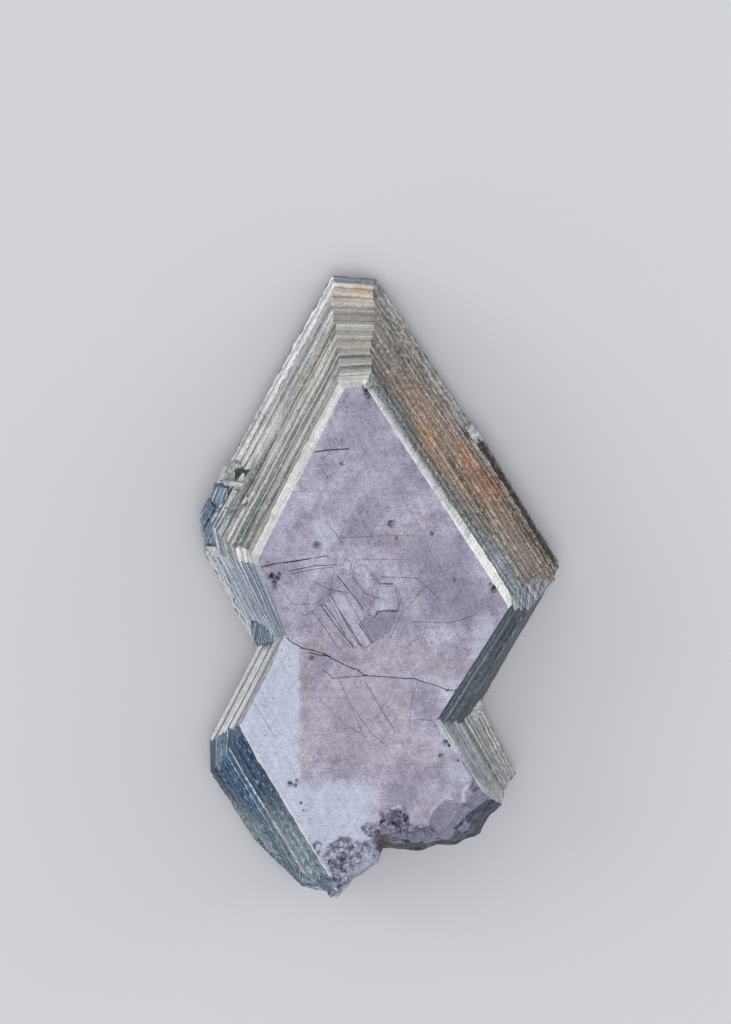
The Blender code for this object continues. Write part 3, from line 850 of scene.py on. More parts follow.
def front_tones(points):
    """How far each tone of the front face shows at each point."""
    tones = {name: np.zeros(len(points)) for name in ("pale", "warm", "tan", "dusk")}
    uneven = sum(strength * grain(points, size, seed) for strength, size, seed in TONE_NOISE)
    for name, centre, reach, strength in TONES:
        near = SPOT_REACH - from_centre(points, centre, reach) + uneven
        tones[name] = np.maximum(tones[name], strength * smooth(near, 0.0, 0.7))
    for name, outline, softness, strength in TONE_SHAPES:
        edge = edge_distance(points, outline) + 0.3 * uneven * softness
        shown = np.where(inside(points, outline), smooth(edge, 0.0, softness), 0.0)
        tones[name] = np.maximum(tones[name], strength * shown)
    lower = inside(points, SEAM + FIELD_OUTSIDE)
    outer = smooth(PALE_EDGE_X + 1.2 * uneven - points[:, 0], -0.2, 0.2)
    under = smooth(PALE_EDGE_Y + 2.6 * uneven - points[:, 1], -0.7, 0.6)
    under *= smooth(-points[:, 0] + 2.5 * uneven, -0.8, 1.6)
    zone = np.maximum(outer, under) * lower
    kept = np.where(lower & (points[:, 0] < TONES_KEPT_X), zone, 1.0)
    tones["pale"] = np.maximum(tones["pale"] * kept, zone)
    for name in ("warm", "tan"):
        tones[name] *= 1.0 - zone
    # Painted highlight along the rim of each tilted break, and painted shade inside it.
    for outline, _, _ in FACETS:
        rim = smooth(edge_distance(points, outline) + 0.2 * uneven, 0.18, 0.04)
        tones["pale"] = np.maximum(tones["pale"], 0.9 * rim)
        tones["dusk"] = np.maximum(tones["dusk"], 0.5 * inside(points, outline) * (1.0 - rim))
    return tones


def line_points():
    """Points along every line of the relief and on both sides of it."""
    lines = [(path, half_width) for path, half_width, _, _ in TRENCHES]
    lines += [(outline + outline[:1], 0.5 * PLATE_EDGE) for outline, _ in PLATES]
    points = []
    for path, half_width in lines:
        for start, end in zip(path[:-1], path[1:]):
            start, end = Vector(start), Vector(end)
            pieces = max(1, round((end - start).length / LINE_PIECE))
            along = (end - start).normalized()
            across = Vector((-along.y, along.x)) * half_width
            for piece in range(pieces):
                point = start.lerp(end, piece / pieces)
                points.extend((point, point + across, point - across))
    return points


def filled_face(boundary, spacing, lines, seed):
    """Triangles that fill a boundary, with points on the lines and an even grid between."""
    rng = random.Random(seed)
    low, high = boundary.min(axis=0), boundary.max(axis=0)
    fixed = [Vector(point) for point in boundary]
    tree = kdtree.KDTree(len(fixed) + len(lines))
    for index, point in enumerate(fixed + lines):
        tree.insert((point.x, point.y, 0.0), index)
    tree.balance()
    candidates = []
    step = spacing * math.sqrt(0.75)
    for row in range(int((high[1] - low[1]) / step) + 1):
        for column in range(int((high[0] - low[0]) / spacing) + 1):
            jitter = rng.uniform(-GRID_STRAY, GRID_STRAY) * spacing
            candidates.append((
                low[0] + (column + 0.5 * (row % 2)) * spacing + jitter,
                low[1] + row * step + jitter,
            ))
    candidates = np.array(candidates)
    candidates = candidates[inside(candidates, boundary)]
    free = [
        Vector(point) for point in candidates
        if tree.find((point[0], point[1], 0.0))[2] > GRID_GAP * spacing
    ]
    if lines:
        spots = np.array([tuple(point) for point in lines])
        rim = distance_to(spots, np.vstack([boundary, boundary[:1]]))
        kept = inside(spots, boundary) & (rim > RIM_GAP)
        lines = [point for point, keep in zip(lines, kept) if keep]
    made = delaunay_2d_cdt(fixed + lines + free, [], [list(range(len(fixed)))], 1, 1e-5)
    coordinates, _, triangles, origins = made[:4]
    count = len(fixed)
    on_boundary = {}
    inner = []
    for index, sources in enumerate(origins):
        edge = [source for source in sources if source < count]
        if edge:
            on_boundary[index] = edge[0]
        else:
            on_boundary[index] = count + len(inner)
            inner.append(coordinates[index])
    faces = [[on_boundary[index] for index in triangle] for triangle in triangles]
    return np.array([tuple(point) for point in inner]).reshape(-1, 2), faces


def chipped(points, inward):
    """Moves the points that lie inside a chip to its far wall, along their inward direction."""
    for number, (centre, radius, squash) in enumerate(CHIPS):
        size = radius * np.array(squash)
        start = (points - np.array(centre)) / size
        close = np.linalg.norm(start, axis=1) < 1.3
        if not close.any():
            continue
        uneven = np.array([noise.noise(Vector(point) * CHIP_LUMPS + Vector((number, 0, 0)))
                           for point in start[close]])
        start = start[close] / (1.0 + 1.6 * CHIP_ROUGHNESS * uneven)[:, None]
        ray = inward[close] / size
        a = (ray * ray).sum(axis=1)
        b = (start * ray).sum(axis=1)
        c = (start * start).sum(axis=1) - 1.0
        held = (c < 0.0)
        travel = np.where(held, (-b + np.sqrt(np.maximum(b * b - a * c, 0.0))) / a, 0.0)
        points[close] += inward[close] * travel[:, None]
    return points


def back_outline(centre, reach_x, reach_y, number):
    """An uneven outline for one recess in the back."""
    rng = random.Random(SEED + BACK_SEED + number)
    outline = []
    for side in range(BACK_SIDES):
        angle = math.tau * (side + rng.uniform(-BACK_UNEVEN, BACK_UNEVEN)) / BACK_SIDES
        outline.append((
            centre[0] + reach_x * math.cos(angle),
            centre[1] + reach_y * math.sin(angle),
        ))
    return outline


def back_relief(points):
    """How high the recesses of the back reach at each point."""
    height = np.zeros(len(points))
    for number, (centre, reach_x, reach_y, deep) in enumerate(BACK_STEPS):
        outline = back_outline(centre, reach_x, reach_y, number)
        height += deep * inside(points, outline)
    return height


# Meshes


def placed(points):
    """Points in millimetres, moved so that the specimen is centred, as metres."""
    points = np.array(points, float)
    points[:, 0] -= CENTRE[0]
    points[:, 1] -= CENTRE[1]
    return points * MM


def new_mesh_object(name, points, faces):
    mesh = bpy.data.meshes.new(name)
    mesh.from_pydata(placed(points).tolist(), [], faces)
    made = bpy.data.objects.new(name, mesh)
    bpy.context.scene.collection.objects.link(made)
    return made


def store(mesh, name, values, kind="FLOAT", domain="POINT"):
    """Stores values on a mesh under a name."""
    made = mesh.attributes.new(name, kind, domain)
    flat = np.ascontiguousarray(np.array(values).reshape(-1))
    made.data.foreach_set("vector" if kind == "FLOAT_VECTOR" else "value", flat)


def add_maps(mesh, millimetres, shares):
    """Two maps: millimetres along and across the layers, and shares of the side both ways."""
    layer = mesh.uv_layers.new(name="layers")
    layer.data.foreach_set("uv", (millimetres * 0.01).reshape(-1))
    layer = mesh.uv_layers.new(name="side")
    layer.data.foreach_set("uv", shares.reshape(-1))


def crystal_body():
    """The whole stepped body as one closed mesh, with what the materials read stored on it."""
    depths, rings = growth_rings()
    sides_of_points = side_of_points()
    shape_bevels(rings, sides_of_points)
    outlines, levels, relief, level_kinds = divided_levels(depths, rings)
    columns, owners, normals, along, shares = divided_along(outlines, sides_of_points)
    rows, count = columns.shape[:2]
    across, seen = spacings(columns, levels, normals, owners)
    columns = nicked(columns, levels, normals, owners, along, shares)
    sides = np.concatenate([
        columns.reshape(-1, 2), np.repeat(THICKNESS - levels, count)[:, None]], axis=1)
    front_inner, front_faces = filled_face(columns[0], FACE_PIECE, line_points(), SEED)
    back_inner, back_faces = filled_face(columns[-1], BACK_PIECE, [], SEED)

    front_points = np.vstack([columns[0], front_inner])
    height, dark, rough = front_relief(front_points)
    tones = front_tones(front_points)
    edge_depth = smooth(levels, 0.0, RELIEF_END)
    lowered = height[:count][None, :] * (1.0 - edge_depth[:, None])
    sides[:, 2] += lowered.reshape(-1)
    front = np.column_stack([front_inner, THICKNESS + height[count:]])
    back = np.column_stack([back_inner, back_relief(back_inner)])
    points = np.vstack([sides, front, back])

    inward = np.zeros_like(points)
    inward[:rows * count, :2] = -np.tile(normals, (rows, 1))
    inward[:count, :2] = 0.0
    inward[:count, 2] = -1.0
    inward[rows * count:rows * count + len(front), 2] = -1.0
    inward[rows * count + len(front):, 2] = 1.0
    points = chipped(points, inward)

    front_start = rows * count - count
    back_start = rows * count + len(front)
    front_map = [index if index < count else index + front_start for index in range(
        count + len(front))]
    last = (rows - 1) * count
    faces, kinds, uvs = [], [], []
    side_uvs = []
    kind_of = {side: KINDS.index(kind) for side, kind in SIDE_KIND.items()}
    for row in range(rows - 1):
        bevel = level_kinds[row + 1] == "bevel"
        under = "under" in level_kinds[row + 1] or level_kinds[row + 1] == "back"
        high, low = row * count, (row + 1) * count
        for index in range(count):
            following = (index + 1) % count
            faces.append((high + index, high + following, low + following, low + index))
            side = owners[index]
            if under:
                kinds.append(KINDS.index("back"))
            elif bevel and side in BEVELLED:
                kinds.append(KINDS.index(BEVEL_KINDS.get(side, "bevel")))
            elif side == "break" and columns[0, index, 1] < TIP_TOP:
                kinds.append(KINDS.index("tip"))
            else:
                kinds.append(kind_of[side])
            end = along[following] if following else along[-1] + ALONG_PIECE
            lines, places = across[:, row:row + 2, index], seen[:, row:row + 2, index]
            uvs.extend(((along[index], lines[0, 0]), (end, lines[1, 0]),
                        (end, lines[1, 1]), (along[index], lines[0, 1])))
            share = shares[index]
            goes_on = owners[following] == side and shares[following] > share
            ahead = shares[following] if goes_on else 1.0
            side_uvs.extend(((share, places[0, 0]), (ahead, places[1, 0]),
                             (ahead, places[1, 1]), (share, places[0, 1])))
    for triangle in front_faces:
        faces.append(tuple(front_map[index] for index in triangle))
        kinds.append(KINDS.index("front_face"))
        uvs.extend(tuple(front_points[index]) for index in triangle)
        side_uvs.extend(((0.0, 0.0),) * 3)
    for triangle in back_faces:
        corners = [last + index if index < count else back_start + index - count
                   for index in reversed(triangle)]
        faces.append(tuple(corners))
        kinds.append(KINDS.index("back"))
        uvs.extend(((0.0, 0.0),) * 3)
        side_uvs.extend(((0.0, 0.0),) * 3)
    body = new_mesh_object("crystal_body", points, faces)
    mesh = body.data
    add_maps(mesh, np.array(uvs), np.array(side_uvs))

    total = len(points)
    on_sides = np.arange(total) < rows * count
    row_of = np.minimum(np.arange(total) // count, rows - 1)
    column_of = np.arange(total) % count
    fade = smooth(levels, *GROWTH_START) * (levels < THICKNESS - GROWTH_END)
    outward = np.zeros((total, 3))
    outward[:rows * count, :2] = np.tile(normals, (rows, 1))
    store(mesh, "outward", outward, "FLOAT_VECTOR")
    crumbly = np.array([CRUMBLE.get(side, 0.0) for side in owners])
    broken = np.array([float(side == "break") for side in owners])
    for name, values in (
        ("depth", levels[row_of]), ("along", along[column_of]), ("growth", fade[row_of]),
        ("relief", relief[row_of]),
        ("crumble", crumbly[column_of] * smooth(levels, *CRUMBLE_DEPTHS)[row_of]),
        ("scallop", broken[column_of] * fade[row_of]),
    ):
        store(mesh, name, np.where(on_sides, values, 0.0))
    away = np.abs(columns[0, :, 0] - STAIN[0]) / STAIN[1]
    stain = smooth(away, 1.0, 0.3) * broken
    for name, values in (("dark", dark), ("rough", rough), *tones.items()):
        spread = np.zeros(total)
        if name == "tan":
            spread[:rows * count] = np.tile(stain, rows)
        spread[:count] = values[:count]
        spread[rows * count:rows * count + len(front)] = values[count:]
        store(mesh, name, spread)
    store(mesh, "kind", kinds, "INT", "FACE")
    return body


def outward_normals(thing):
    mesh = bmesh.new()
    mesh.from_mesh(thing.data)
    bmesh.ops.recalc_face_normals(mesh, faces=mesh.faces)
    mesh.to_mesh(thing.data)
    mesh.free()


def shade(thing, angle):
    thing.data.polygons.foreach_set("use_smooth", [True] * len(thing.data.polygons))
    thing.data.set_sharp_from_angle(angle=math.radians(angle))


def uneven_piece(name, outline, foot, top, fall, uneven):
    """A piece of stone on an outline, with a sloping top and an uneven surface."""
    left = max(x for x, _ in outline)
    high = max(y for _, y in outline)
    count = len(outline)
    tops = [top + fall[0] * (left - x) + fall[1] * (high - y) for x, y in outline]
    points = [(x, y, foot) for x, y in outline]
    points += [(x, y, z) for (x, y), z in zip(outline, tops)]
    faces = [tuple(range(count))]
    faces += [(i, (i + 1) % count, count + (i + 1) % count) for i in range(count)]
    faces += [(i, count + (i + 1) % count, count + i) for i in range(count)]
    middle = (sum(x for x, _ in outline) / count, sum(y for _, y in outline) / count,
              sum(tops) / count)
    points.append(middle)
    faces += [(count + i, count + (i + 1) % count, 2 * count) for i in range(count)]
    made = new_mesh_object(name, points, faces)
    outward_normals(made)
    remesh = made.modifiers.new("even faces", "REMESH")
    remesh.mode = "VOXEL"
    remesh.voxel_size = PIECE_VOXEL * MM
    graph = bpy.context.evaluated_depsgraph_get()
    mesh = bpy.data.meshes.new_from_object(made.evaluated_get(graph))
    made.modifiers.clear()
    made.data = mesh
    mesh.name = name
    count = len(mesh.vertices)
    places, normals = np.empty(count * 3), np.empty(count * 3)
    mesh.vertices.foreach_get("co", places)
    mesh.vertices.foreach_get("normal", normals)
    places, normals = places.reshape(-1, 3), normals.reshape(-1, 3)
    strength, finer = PIECE_FINE
    reach = [noise.noise(Vector(place) / (PIECE_NOISE * MM)) + strength * noise.noise(
        Vector(place) / (finer * PIECE_NOISE * MM)) for place in places]
    places += normals * (uneven * MM * np.array(reach))[:, None]
    mesh.vertices.foreach_set("co", places.reshape(-1))
    loops = np.empty(len(mesh.loops), np.int32)
    mesh.loops.foreach_get("vertex_index", loops)
    spots = places[loops] / MM
    angle = math.atan2(PIECE_GRAIN[1], PIECE_GRAIN[0])
    along = spots[:, 0] * math.cos(angle) + spots[:, 1] * math.sin(angle)
    across = -spots[:, 0] * math.sin(angle) + spots[:, 1] * math.cos(angle) - spots[:, 2]
    down = np.clip((top - spots[:, 2]) / (top - foot), 0.0, 1.0)
    add_maps(mesh, np.stack([along, across], axis=1),
             np.stack([np.full(len(loops), 0.5), down], axis=1))
    return made


# Node trees


def connect(tree, node, inputs):
    """Links a node's inputs from sockets, or sets them to values."""
    for key, value in inputs.items():
        if isinstance(value, bpy.types.NodeSocket):
            tree.links.new(value, node.inputs[key])
        else:
            node.inputs[key].default_value = value


def add(tree, kind, inputs=None, **settings):
    """A node with its settings and inputs."""
    node = tree.nodes.new(kind)
    for name, value in settings.items():
        setattr(node, name, value)
    connect(tree, node, inputs or {})
    return node


def group_inputs(tree, inputs):
    """Names the inputs of a node group: name, type and default. Returns their sockets."""
    for name, kind, default in inputs:
        made = tree.interface.new_socket(name, in_out="INPUT", socket_type=kind)
        if default is not None:
            made.default_value = default
    return add(tree, "NodeGroupInput").outputs


def group_outputs(tree, values, kind="NodeSocketFloat"):
    """Names the outputs of a node group and links a value to each."""
    for name in values:
        tree.interface.new_socket(name, in_out="OUTPUT", socket_type=kind)
    add(tree, "NodeGroupOutput", values)


def maths(tree, operation, first, second=0.0, clamp=False):
    node = add(tree, "ShaderNodeMath", {0: first, 1: second}, operation=operation)
    node.use_clamp = clamp
    return node.outputs[0]


def times(tree, first, second, clamp=False):
    return maths(tree, "MULTIPLY", first, second, clamp)


def plus(tree, first, second):
    return maths(tree, "ADD", first, second)


def minus(tree, first, second, clamp=False):
    return maths(tree, "SUBTRACT", first, second, clamp)


def remap(tree, value, low, high, to_low=0.0, to_high=1.0):
    return add(tree, "ShaderNodeMapRange", {
        "Value": value, "From Min": low, "From Max": high, "To Min": to_low,
        "To Max": to_high}).outputs[0]


def noise_at(tree, place, detail, roughness=0.6, scale=1.0):
    return add(tree, "ShaderNodeTexNoise", {
        "Vector": place, "Scale": scale, "Detail": detail, "Roughness": roughness}).outputs[0]


def scaled(tree, place, scale):
    return add(tree, "ShaderNodeVectorMath", {0: place, "Scale": scale},
               operation="SCALE").outputs[0]


def stored(tree, name, kind="FLOAT"):
    """A value that the mesh carries, for geometry nodes."""
    return add(tree, "GeometryNodeInputNamedAttribute", {"Name": name}, data_type=kind).outputs[0]


def in_lumps(tree, size):
    """The place of each point, measured in lumps of the given size."""
    place = add(tree, "GeometryNodeInputPosition").outputs[0]
    return scaled(tree, place, maths(tree, "DIVIDE", 1.0, size))


def growth_tree(materials):
    """Fine growth lines: pushes the sides in and out by noise that follows the layers."""
    tree = bpy.data.node_groups.new("Growth Lines", "GeometryNodeTree")
    given = group_inputs(tree, (
        ("Geometry", "NodeSocketGeometry", None),
        ("Line Depth", "NodeSocketFloat", 0.00003),
        ("Lines per Millimetre", "NodeSocketFloat", 4.0),
        ("Stretch", "NodeSocketFloat", 0.12),
        ("Crumble Size", "NodeSocketFloat", 0.0006),
        ("Scallop Size", "NodeSocketFloat", SCALLOP * MM),
        ("Scallop Depth", "NodeSocketFloat", 0.0004),
        ("Seed", "NodeSocketInt", 3),
    ))
    place = add(tree, "ShaderNodeCombineXYZ", {
        "X": times(tree, stored(tree, "along"), given["Stretch"]),
        "Y": times(tree, stored(tree, "depth"), given["Lines per Millimetre"]),
        "Z": given["Seed"],
    }).outputs[0]
    signed = remap(tree, noise_at(tree, place, 3.0), 0.3, 0.7, -1.0, 1.0)
    reach = times(tree, times(tree, signed, stored(tree, "growth")), given["Line Depth"])
    lumps = noise_at(tree, in_lumps(tree, given["Crumble Size"]), 3.0)
    lumps = times(tree, minus(tree, lumps, 0.55), 4.0)
    lumps = times(tree, times(tree, lumps, stored(tree, "crumble")), MM)
    hollow = add(tree, "ShaderNodeTexVoronoi", {
        "Vector": in_lumps(tree, given["Scallop Size"]), "Scale": 1.0}).outputs["Distance"]
    hollow = times(tree, minus(tree, hollow, 0.45),
                   times(tree, stored(tree, "scallop"), given["Scallop Depth"]))
    reach = plus(tree, plus(tree, reach, lumps), hollow)
    last = add(tree, "GeometryNodeSetPosition", {
        "Geometry": given["Geometry"],
        "Offset": scaled(tree, stored(tree, "outward", "FLOAT_VECTOR"), reach)}).outputs[0]
    last = add(tree, "GeometryNodeRealizeInstances", {"Geometry": last}).outputs[0]
    kind = stored(tree, "kind", "INT")
    for number, material in enumerate(materials):
        chosen = add(tree, "FunctionNodeCompare", {"A": kind, "B": number}, data_type="INT",
                     operation="EQUAL").outputs[0]
        last = add(tree, "GeometryNodeSetMaterial", {
            "Geometry": last, "Selection": chosen, "Material": material}).outputs[0]
    group_outputs(tree, {"Geometry": last}, "NodeSocketGeometry")
    return tree


def grain_tree(material):
    """Small broken grains scattered where the faces are rough."""
    tree = bpy.data.node_groups.new("Broken Grains", "GeometryNodeTree")
    given = group_inputs(tree, (
        ("Geometry", "NodeSocketGeometry", None),
        ("Density", "NodeSocketFloat", 9.0e6),
        ("Smallest", "NodeSocketFloat", 0.00005),
        ("Largest", "NodeSocketFloat", 0.00017),
        ("Seed", "NodeSocketInt", 8),
    ))
    chosen = add(tree, "FunctionNodeCompare", {0: stored(tree, "rough"), 1: ROUGH_FROM},
                 data_type="FLOAT", operation="GREATER_THAN").outputs[0]
    spots = add(tree, "GeometryNodeDistributePointsOnFaces", {
        "Mesh": given["Geometry"], "Selection": chosen, "Density": given["Density"],
        "Seed": given["Seed"]})
    lump = add(tree, "GeometryNodeMeshCube", {"Size": GRAIN_SHAPE}).outputs[0]
    turn = add(tree, "FunctionNodeRandomValue", {
        "Max": (FULL_TURN,) * 3, "Seed": given["Seed"]}, data_type="FLOAT_VECTOR")
    size = add(tree, "FunctionNodeRandomValue", {
        2: given["Smallest"], 3: given["Largest"], "Seed": given["Seed"]}, data_type="FLOAT")
    last = add(tree, "GeometryNodeInstanceOnPoints", {
        "Points": spots.outputs["Points"], "Instance": lump, "Rotation": turn.outputs[0],
        "Scale": size.outputs[1]}).outputs[0]
    last = add(tree, "GeometryNodeRealizeInstances", {"Geometry": last}).outputs[0]
    last = add(tree, "GeometryNodeSetMaterial", {"Geometry": last, "Material": material}).outputs[0]
    group_outputs(tree, {"Geometry": last}, "NodeSocketGeometry")
    return tree


def run_tree(thing, tree, values):
    """Runs a geometry node tree on an object and keeps the result as a plain mesh."""
    modifier = thing.modifiers.new(tree.name, "NODES")
    modifier.node_group = tree
    names = {item.name: item.identifier for item in tree.interface.items_tree
             if item.item_type == "SOCKET" and item.in_out == "INPUT"}
    for name, value in values.items():
        modifier[names[name]] = value
    graph = bpy.context.evaluated_depsgraph_get()
    mesh = bpy.data.meshes.new_from_object(thing.evaluated_get(graph))
    thing.modifiers.clear()
    old = thing.data
    thing.data = mesh
    mesh.name = old.name
    bpy.data.meshes.remove(old)


# Shader node groups


def mixed(tree, factor, first, second, blend="MIX"):
    """A colour mix; the inputs are sockets or colours."""
    return add(tree, "ShaderNodeMix", {0: factor, 6: first, 7: second}, data_type="RGBA",
               blend_type=blend).outputs[2]


def toned(tree, colour, value, low, high, dark, light, factor=1.0):
    """A colour made darker where a value is low and lighter where it is high."""
    return mixed(tree, factor, colour, remap(tree, value, low, high, dark, light), "MULTIPLY")


def linear(colour):
    """A colour as written in a picture, turned into the linear values that a shader takes."""
    values = [
        part / 12.92 if part <= 0.04045 else ((part + 0.055) / 1.055) ** 2.4 for part in colour[:3]
    ]
    return (*values, 1.0)


def tint(colour):
    """The same for a colour in percent."""
    return linear([part / 100 for part in colour])


def map_parts(tree, name):
    """The two parts of a place on one of the maps."""
    uv = add(tree, "ShaderNodeUVMap", uv_map=name).outputs[0]
    return add(tree, "ShaderNodeSeparateXYZ", {0: uv}).outputs


def shader_group(name, **inputs):
    """A shader node group with number inputs, and their sockets."""
    tree = bpy.data.node_groups.new(name, "ShaderNodeTree")
    return tree, group_inputs(tree, [(key.replace("_", " "), "NodeSocketFloat", value)
                                     for key, value in inputs.items()])


def lines_group():
    """Growth lines that run round the sides: fine and broad lines, grains along them, patches."""
    tree, given = shader_group("Growth Lines Shade", Density=3.0, Seed=0.0)
    layers, side = map_parts(tree, "layers"), map_parts(tree, "side")
    along, depth = times(tree, layers[0], 100.0), times(tree, layers[1], 100.0)
    dense = times(tree, depth, given["Density"])

    def stretched(first, second):
        return add(tree, "ShaderNodeCombineXYZ", {
            "X": times(tree, along, first), "Y": second, "Z": given["Seed"]}).outputs[0]

    broad = noise_at(tree, stretched(0.015, dense), 3.0, 0.65)
    fine = noise_at(tree, stretched(0.04, times(tree, dense, 3.3)), 4.0, 0.65)
    hatch = noise_at(tree, stretched(5.0, times(tree, depth, 0.5)), 2.0)
    group_outputs(tree, {
        "Fine": remap(tree, fine, 0.32, 0.68),
        "Broad": remap(tree, broad, 0.32, 0.68),
        "Grain": noise_at(tree, stretched(3.2, times(tree, depth, 7.0)), 2.0, 0.7),
        "Patch": noise_at(tree, stretched(0.3, times(tree, depth, 0.6)), 5.0),
        "Hatch": remap(tree, hatch, 0.52, 0.62),
        "Share": side[0],
        "Across": side[1],
    })
    return tree


def spot_group():
    """A soft uneven spot on a side, at shares of the way along it and across it."""
    tree, given = shader_group(
        "Spot", Share=0.0, Across=0.0, Patch=0.5, Centre_Share=0.5, Centre_Across=0.5,
        Share_Reach=0.1, Across_Reach=0.1, Strength=1.0)
    squares = []
    for name in ("Share", "Across"):
        away = minus(tree, given[name], given["Centre " + name])
        away = maths(tree, "DIVIDE", away, given[name + " Reach"])
        squares.append(times(tree, away, away))
    away = maths(tree, "SQRT", plus(tree, *squares))
    uneven = times(tree, minus(tree, given["Patch"], 0.5), 2.6)
    mask = remap(tree, plus(tree, away, uneven), 1.15, 0.55)
    group_outputs(tree, {"Mask": times(tree, mask, given["Strength"])})
    return tree


def bent(tree, place, scale, strength):
    """A place moved by broad noise, so that what reads it isn't straight."""
    moved = add(tree, "ShaderNodeTexNoise", {"Vector": place, "Scale": scale}).outputs[1]
    return add(tree, "ShaderNodeVectorMath", {0: place, 1: scaled(tree, moved, strength)},
               operation="ADD").outputs[0]


def edges_at(tree, place, scale, high, low):
    """Thin lines between cells."""
    edges = add(tree, "ShaderNodeTexVoronoi", {"Vector": place, "Scale": scale},
                feature="DISTANCE_TO_EDGE").outputs["Distance"]
    return remap(tree, edges, high, low)


def mottle_group():
    """Mottling at three sizes, small dark specks gathered in patches, cracks and facets."""
    tree, given = shader_group("Mottle", Grain_Scale=9000.0)
    place = add(tree, "ShaderNodeTexCoord").outputs["Object"]
    dots = noise_at(tree, place, 2.0, 0.55, 4600.0)
    gathered = remap(tree, noise_at(tree, place, 2.0, 0.6, 600.0), 0.4, 0.65, -0.05, 0.09)
    hollows = bent(tree, place, 700.0, 0.0012)
    size = 1.0 / (SCALLOP * MM)
    tones = add(tree, "ShaderNodeTexVoronoi", {"Vector": hollows, "Scale": size}).outputs["Color"]
    group_outputs(tree, {
        "Grain": noise_at(tree, place, 1.5, 0.6, given["Grain Scale"]),
        "Mottle": noise_at(tree, place, 5.0, 0.65, 1900.0),
        "Cloud": noise_at(tree, place, 4.0, 0.6, 420.0),
        "Specks": remap(tree, plus(tree, dots, gathered), 0.68, 0.74),
        "Cracks": edges_at(tree, bent(tree, place, 2500.0, 0.0002), 2100.0, 0.09, 0.03),
        "Facets": add(tree, "ShaderNodeSeparateColor", {0: tones}).outputs[0],
        "Rims": edges_at(tree, hollows, size, 0.09, 0.02),
    })
    return tree


def scratches_group():
    """Thin straight scratches and broader streaks in one direction of the front face."""
    tree, given = shader_group("Scratches", Angle=0.0, Length=0.006, Width=0.0001, Seed=0.0)
    place = add(tree, "ShaderNodeTexCoord").outputs["Object"]
    turn = add(tree, "ShaderNodeCombineXYZ", {"Z": given["Angle"]}).outputs[0]
    values = []
    for widen, detail in ((1.0, 0.0), (3.0, 3.0)):
        size = add(tree, "ShaderNodeCombineXYZ", {
            "X": given["Length"], "Y": times(tree, given["Width"], widen), "Z": 1.0}).outputs[0]
        shift = add(tree, "ShaderNodeCombineXYZ", {"X": given["Seed"]}).outputs[0]
        where = add(tree, "ShaderNodeMapping", {
            "Vector": place, "Location": shift, "Rotation": turn, "Scale": size},
            vector_type="TEXTURE").outputs[0]
        values.append(noise_at(tree, where, detail))
    broken = remap(tree, noise_at(tree, place, 2.0, 0.6, 500.0), 0.45, 0.6)
    thin = times(tree, remap(tree, values[0], 0.69, 0.76), broken)
    group_outputs(tree, {"Scratches": thin, "Streaks": values[1]})
    return tree


# Materials


def new_material(name, metallic, roughness):
    material = bpy.data.materials.new(name)
    material.use_nodes = True
    tree = material.node_tree
    shader = tree.nodes["Principled BSDF"]
    shader.inputs["Metallic"].default_value = metallic
    shader.inputs["Roughness"].default_value = roughness
    return material, tree, shader


def use_group(tree, group, inputs, *names):
    """The sockets of a node group that have these names."""
    outputs = add(tree, "ShaderNodeGroup", inputs, node_tree=group).outputs
    return [outputs[name] for name in names]


def attribute(tree, name):
    return add(tree, "ShaderNodeAttribute", attribute_name=name).outputs["Fac"]


def bumped(tree, height, strength, distance):
    return add(tree, "ShaderNodeBump", {
        "Height": height, "Strength": strength, "Distance": distance}).outputs[0]


def colour_ramp(tree, value, zones):
    """Colours at shares of the way across a side, with even changes between them."""
    node = add(tree, "ShaderNodeValToRGB", {0: value})
    elements = node.color_ramp.elements
    elements[0].position, elements[0].color = zones[0][0] / 100, tint(zones[0][1:])
    elements.remove(elements[1])
    for position, *colour in zones[1:]:
        elements.new(position / 100).color = tint(colour)
    return node.outputs[0]


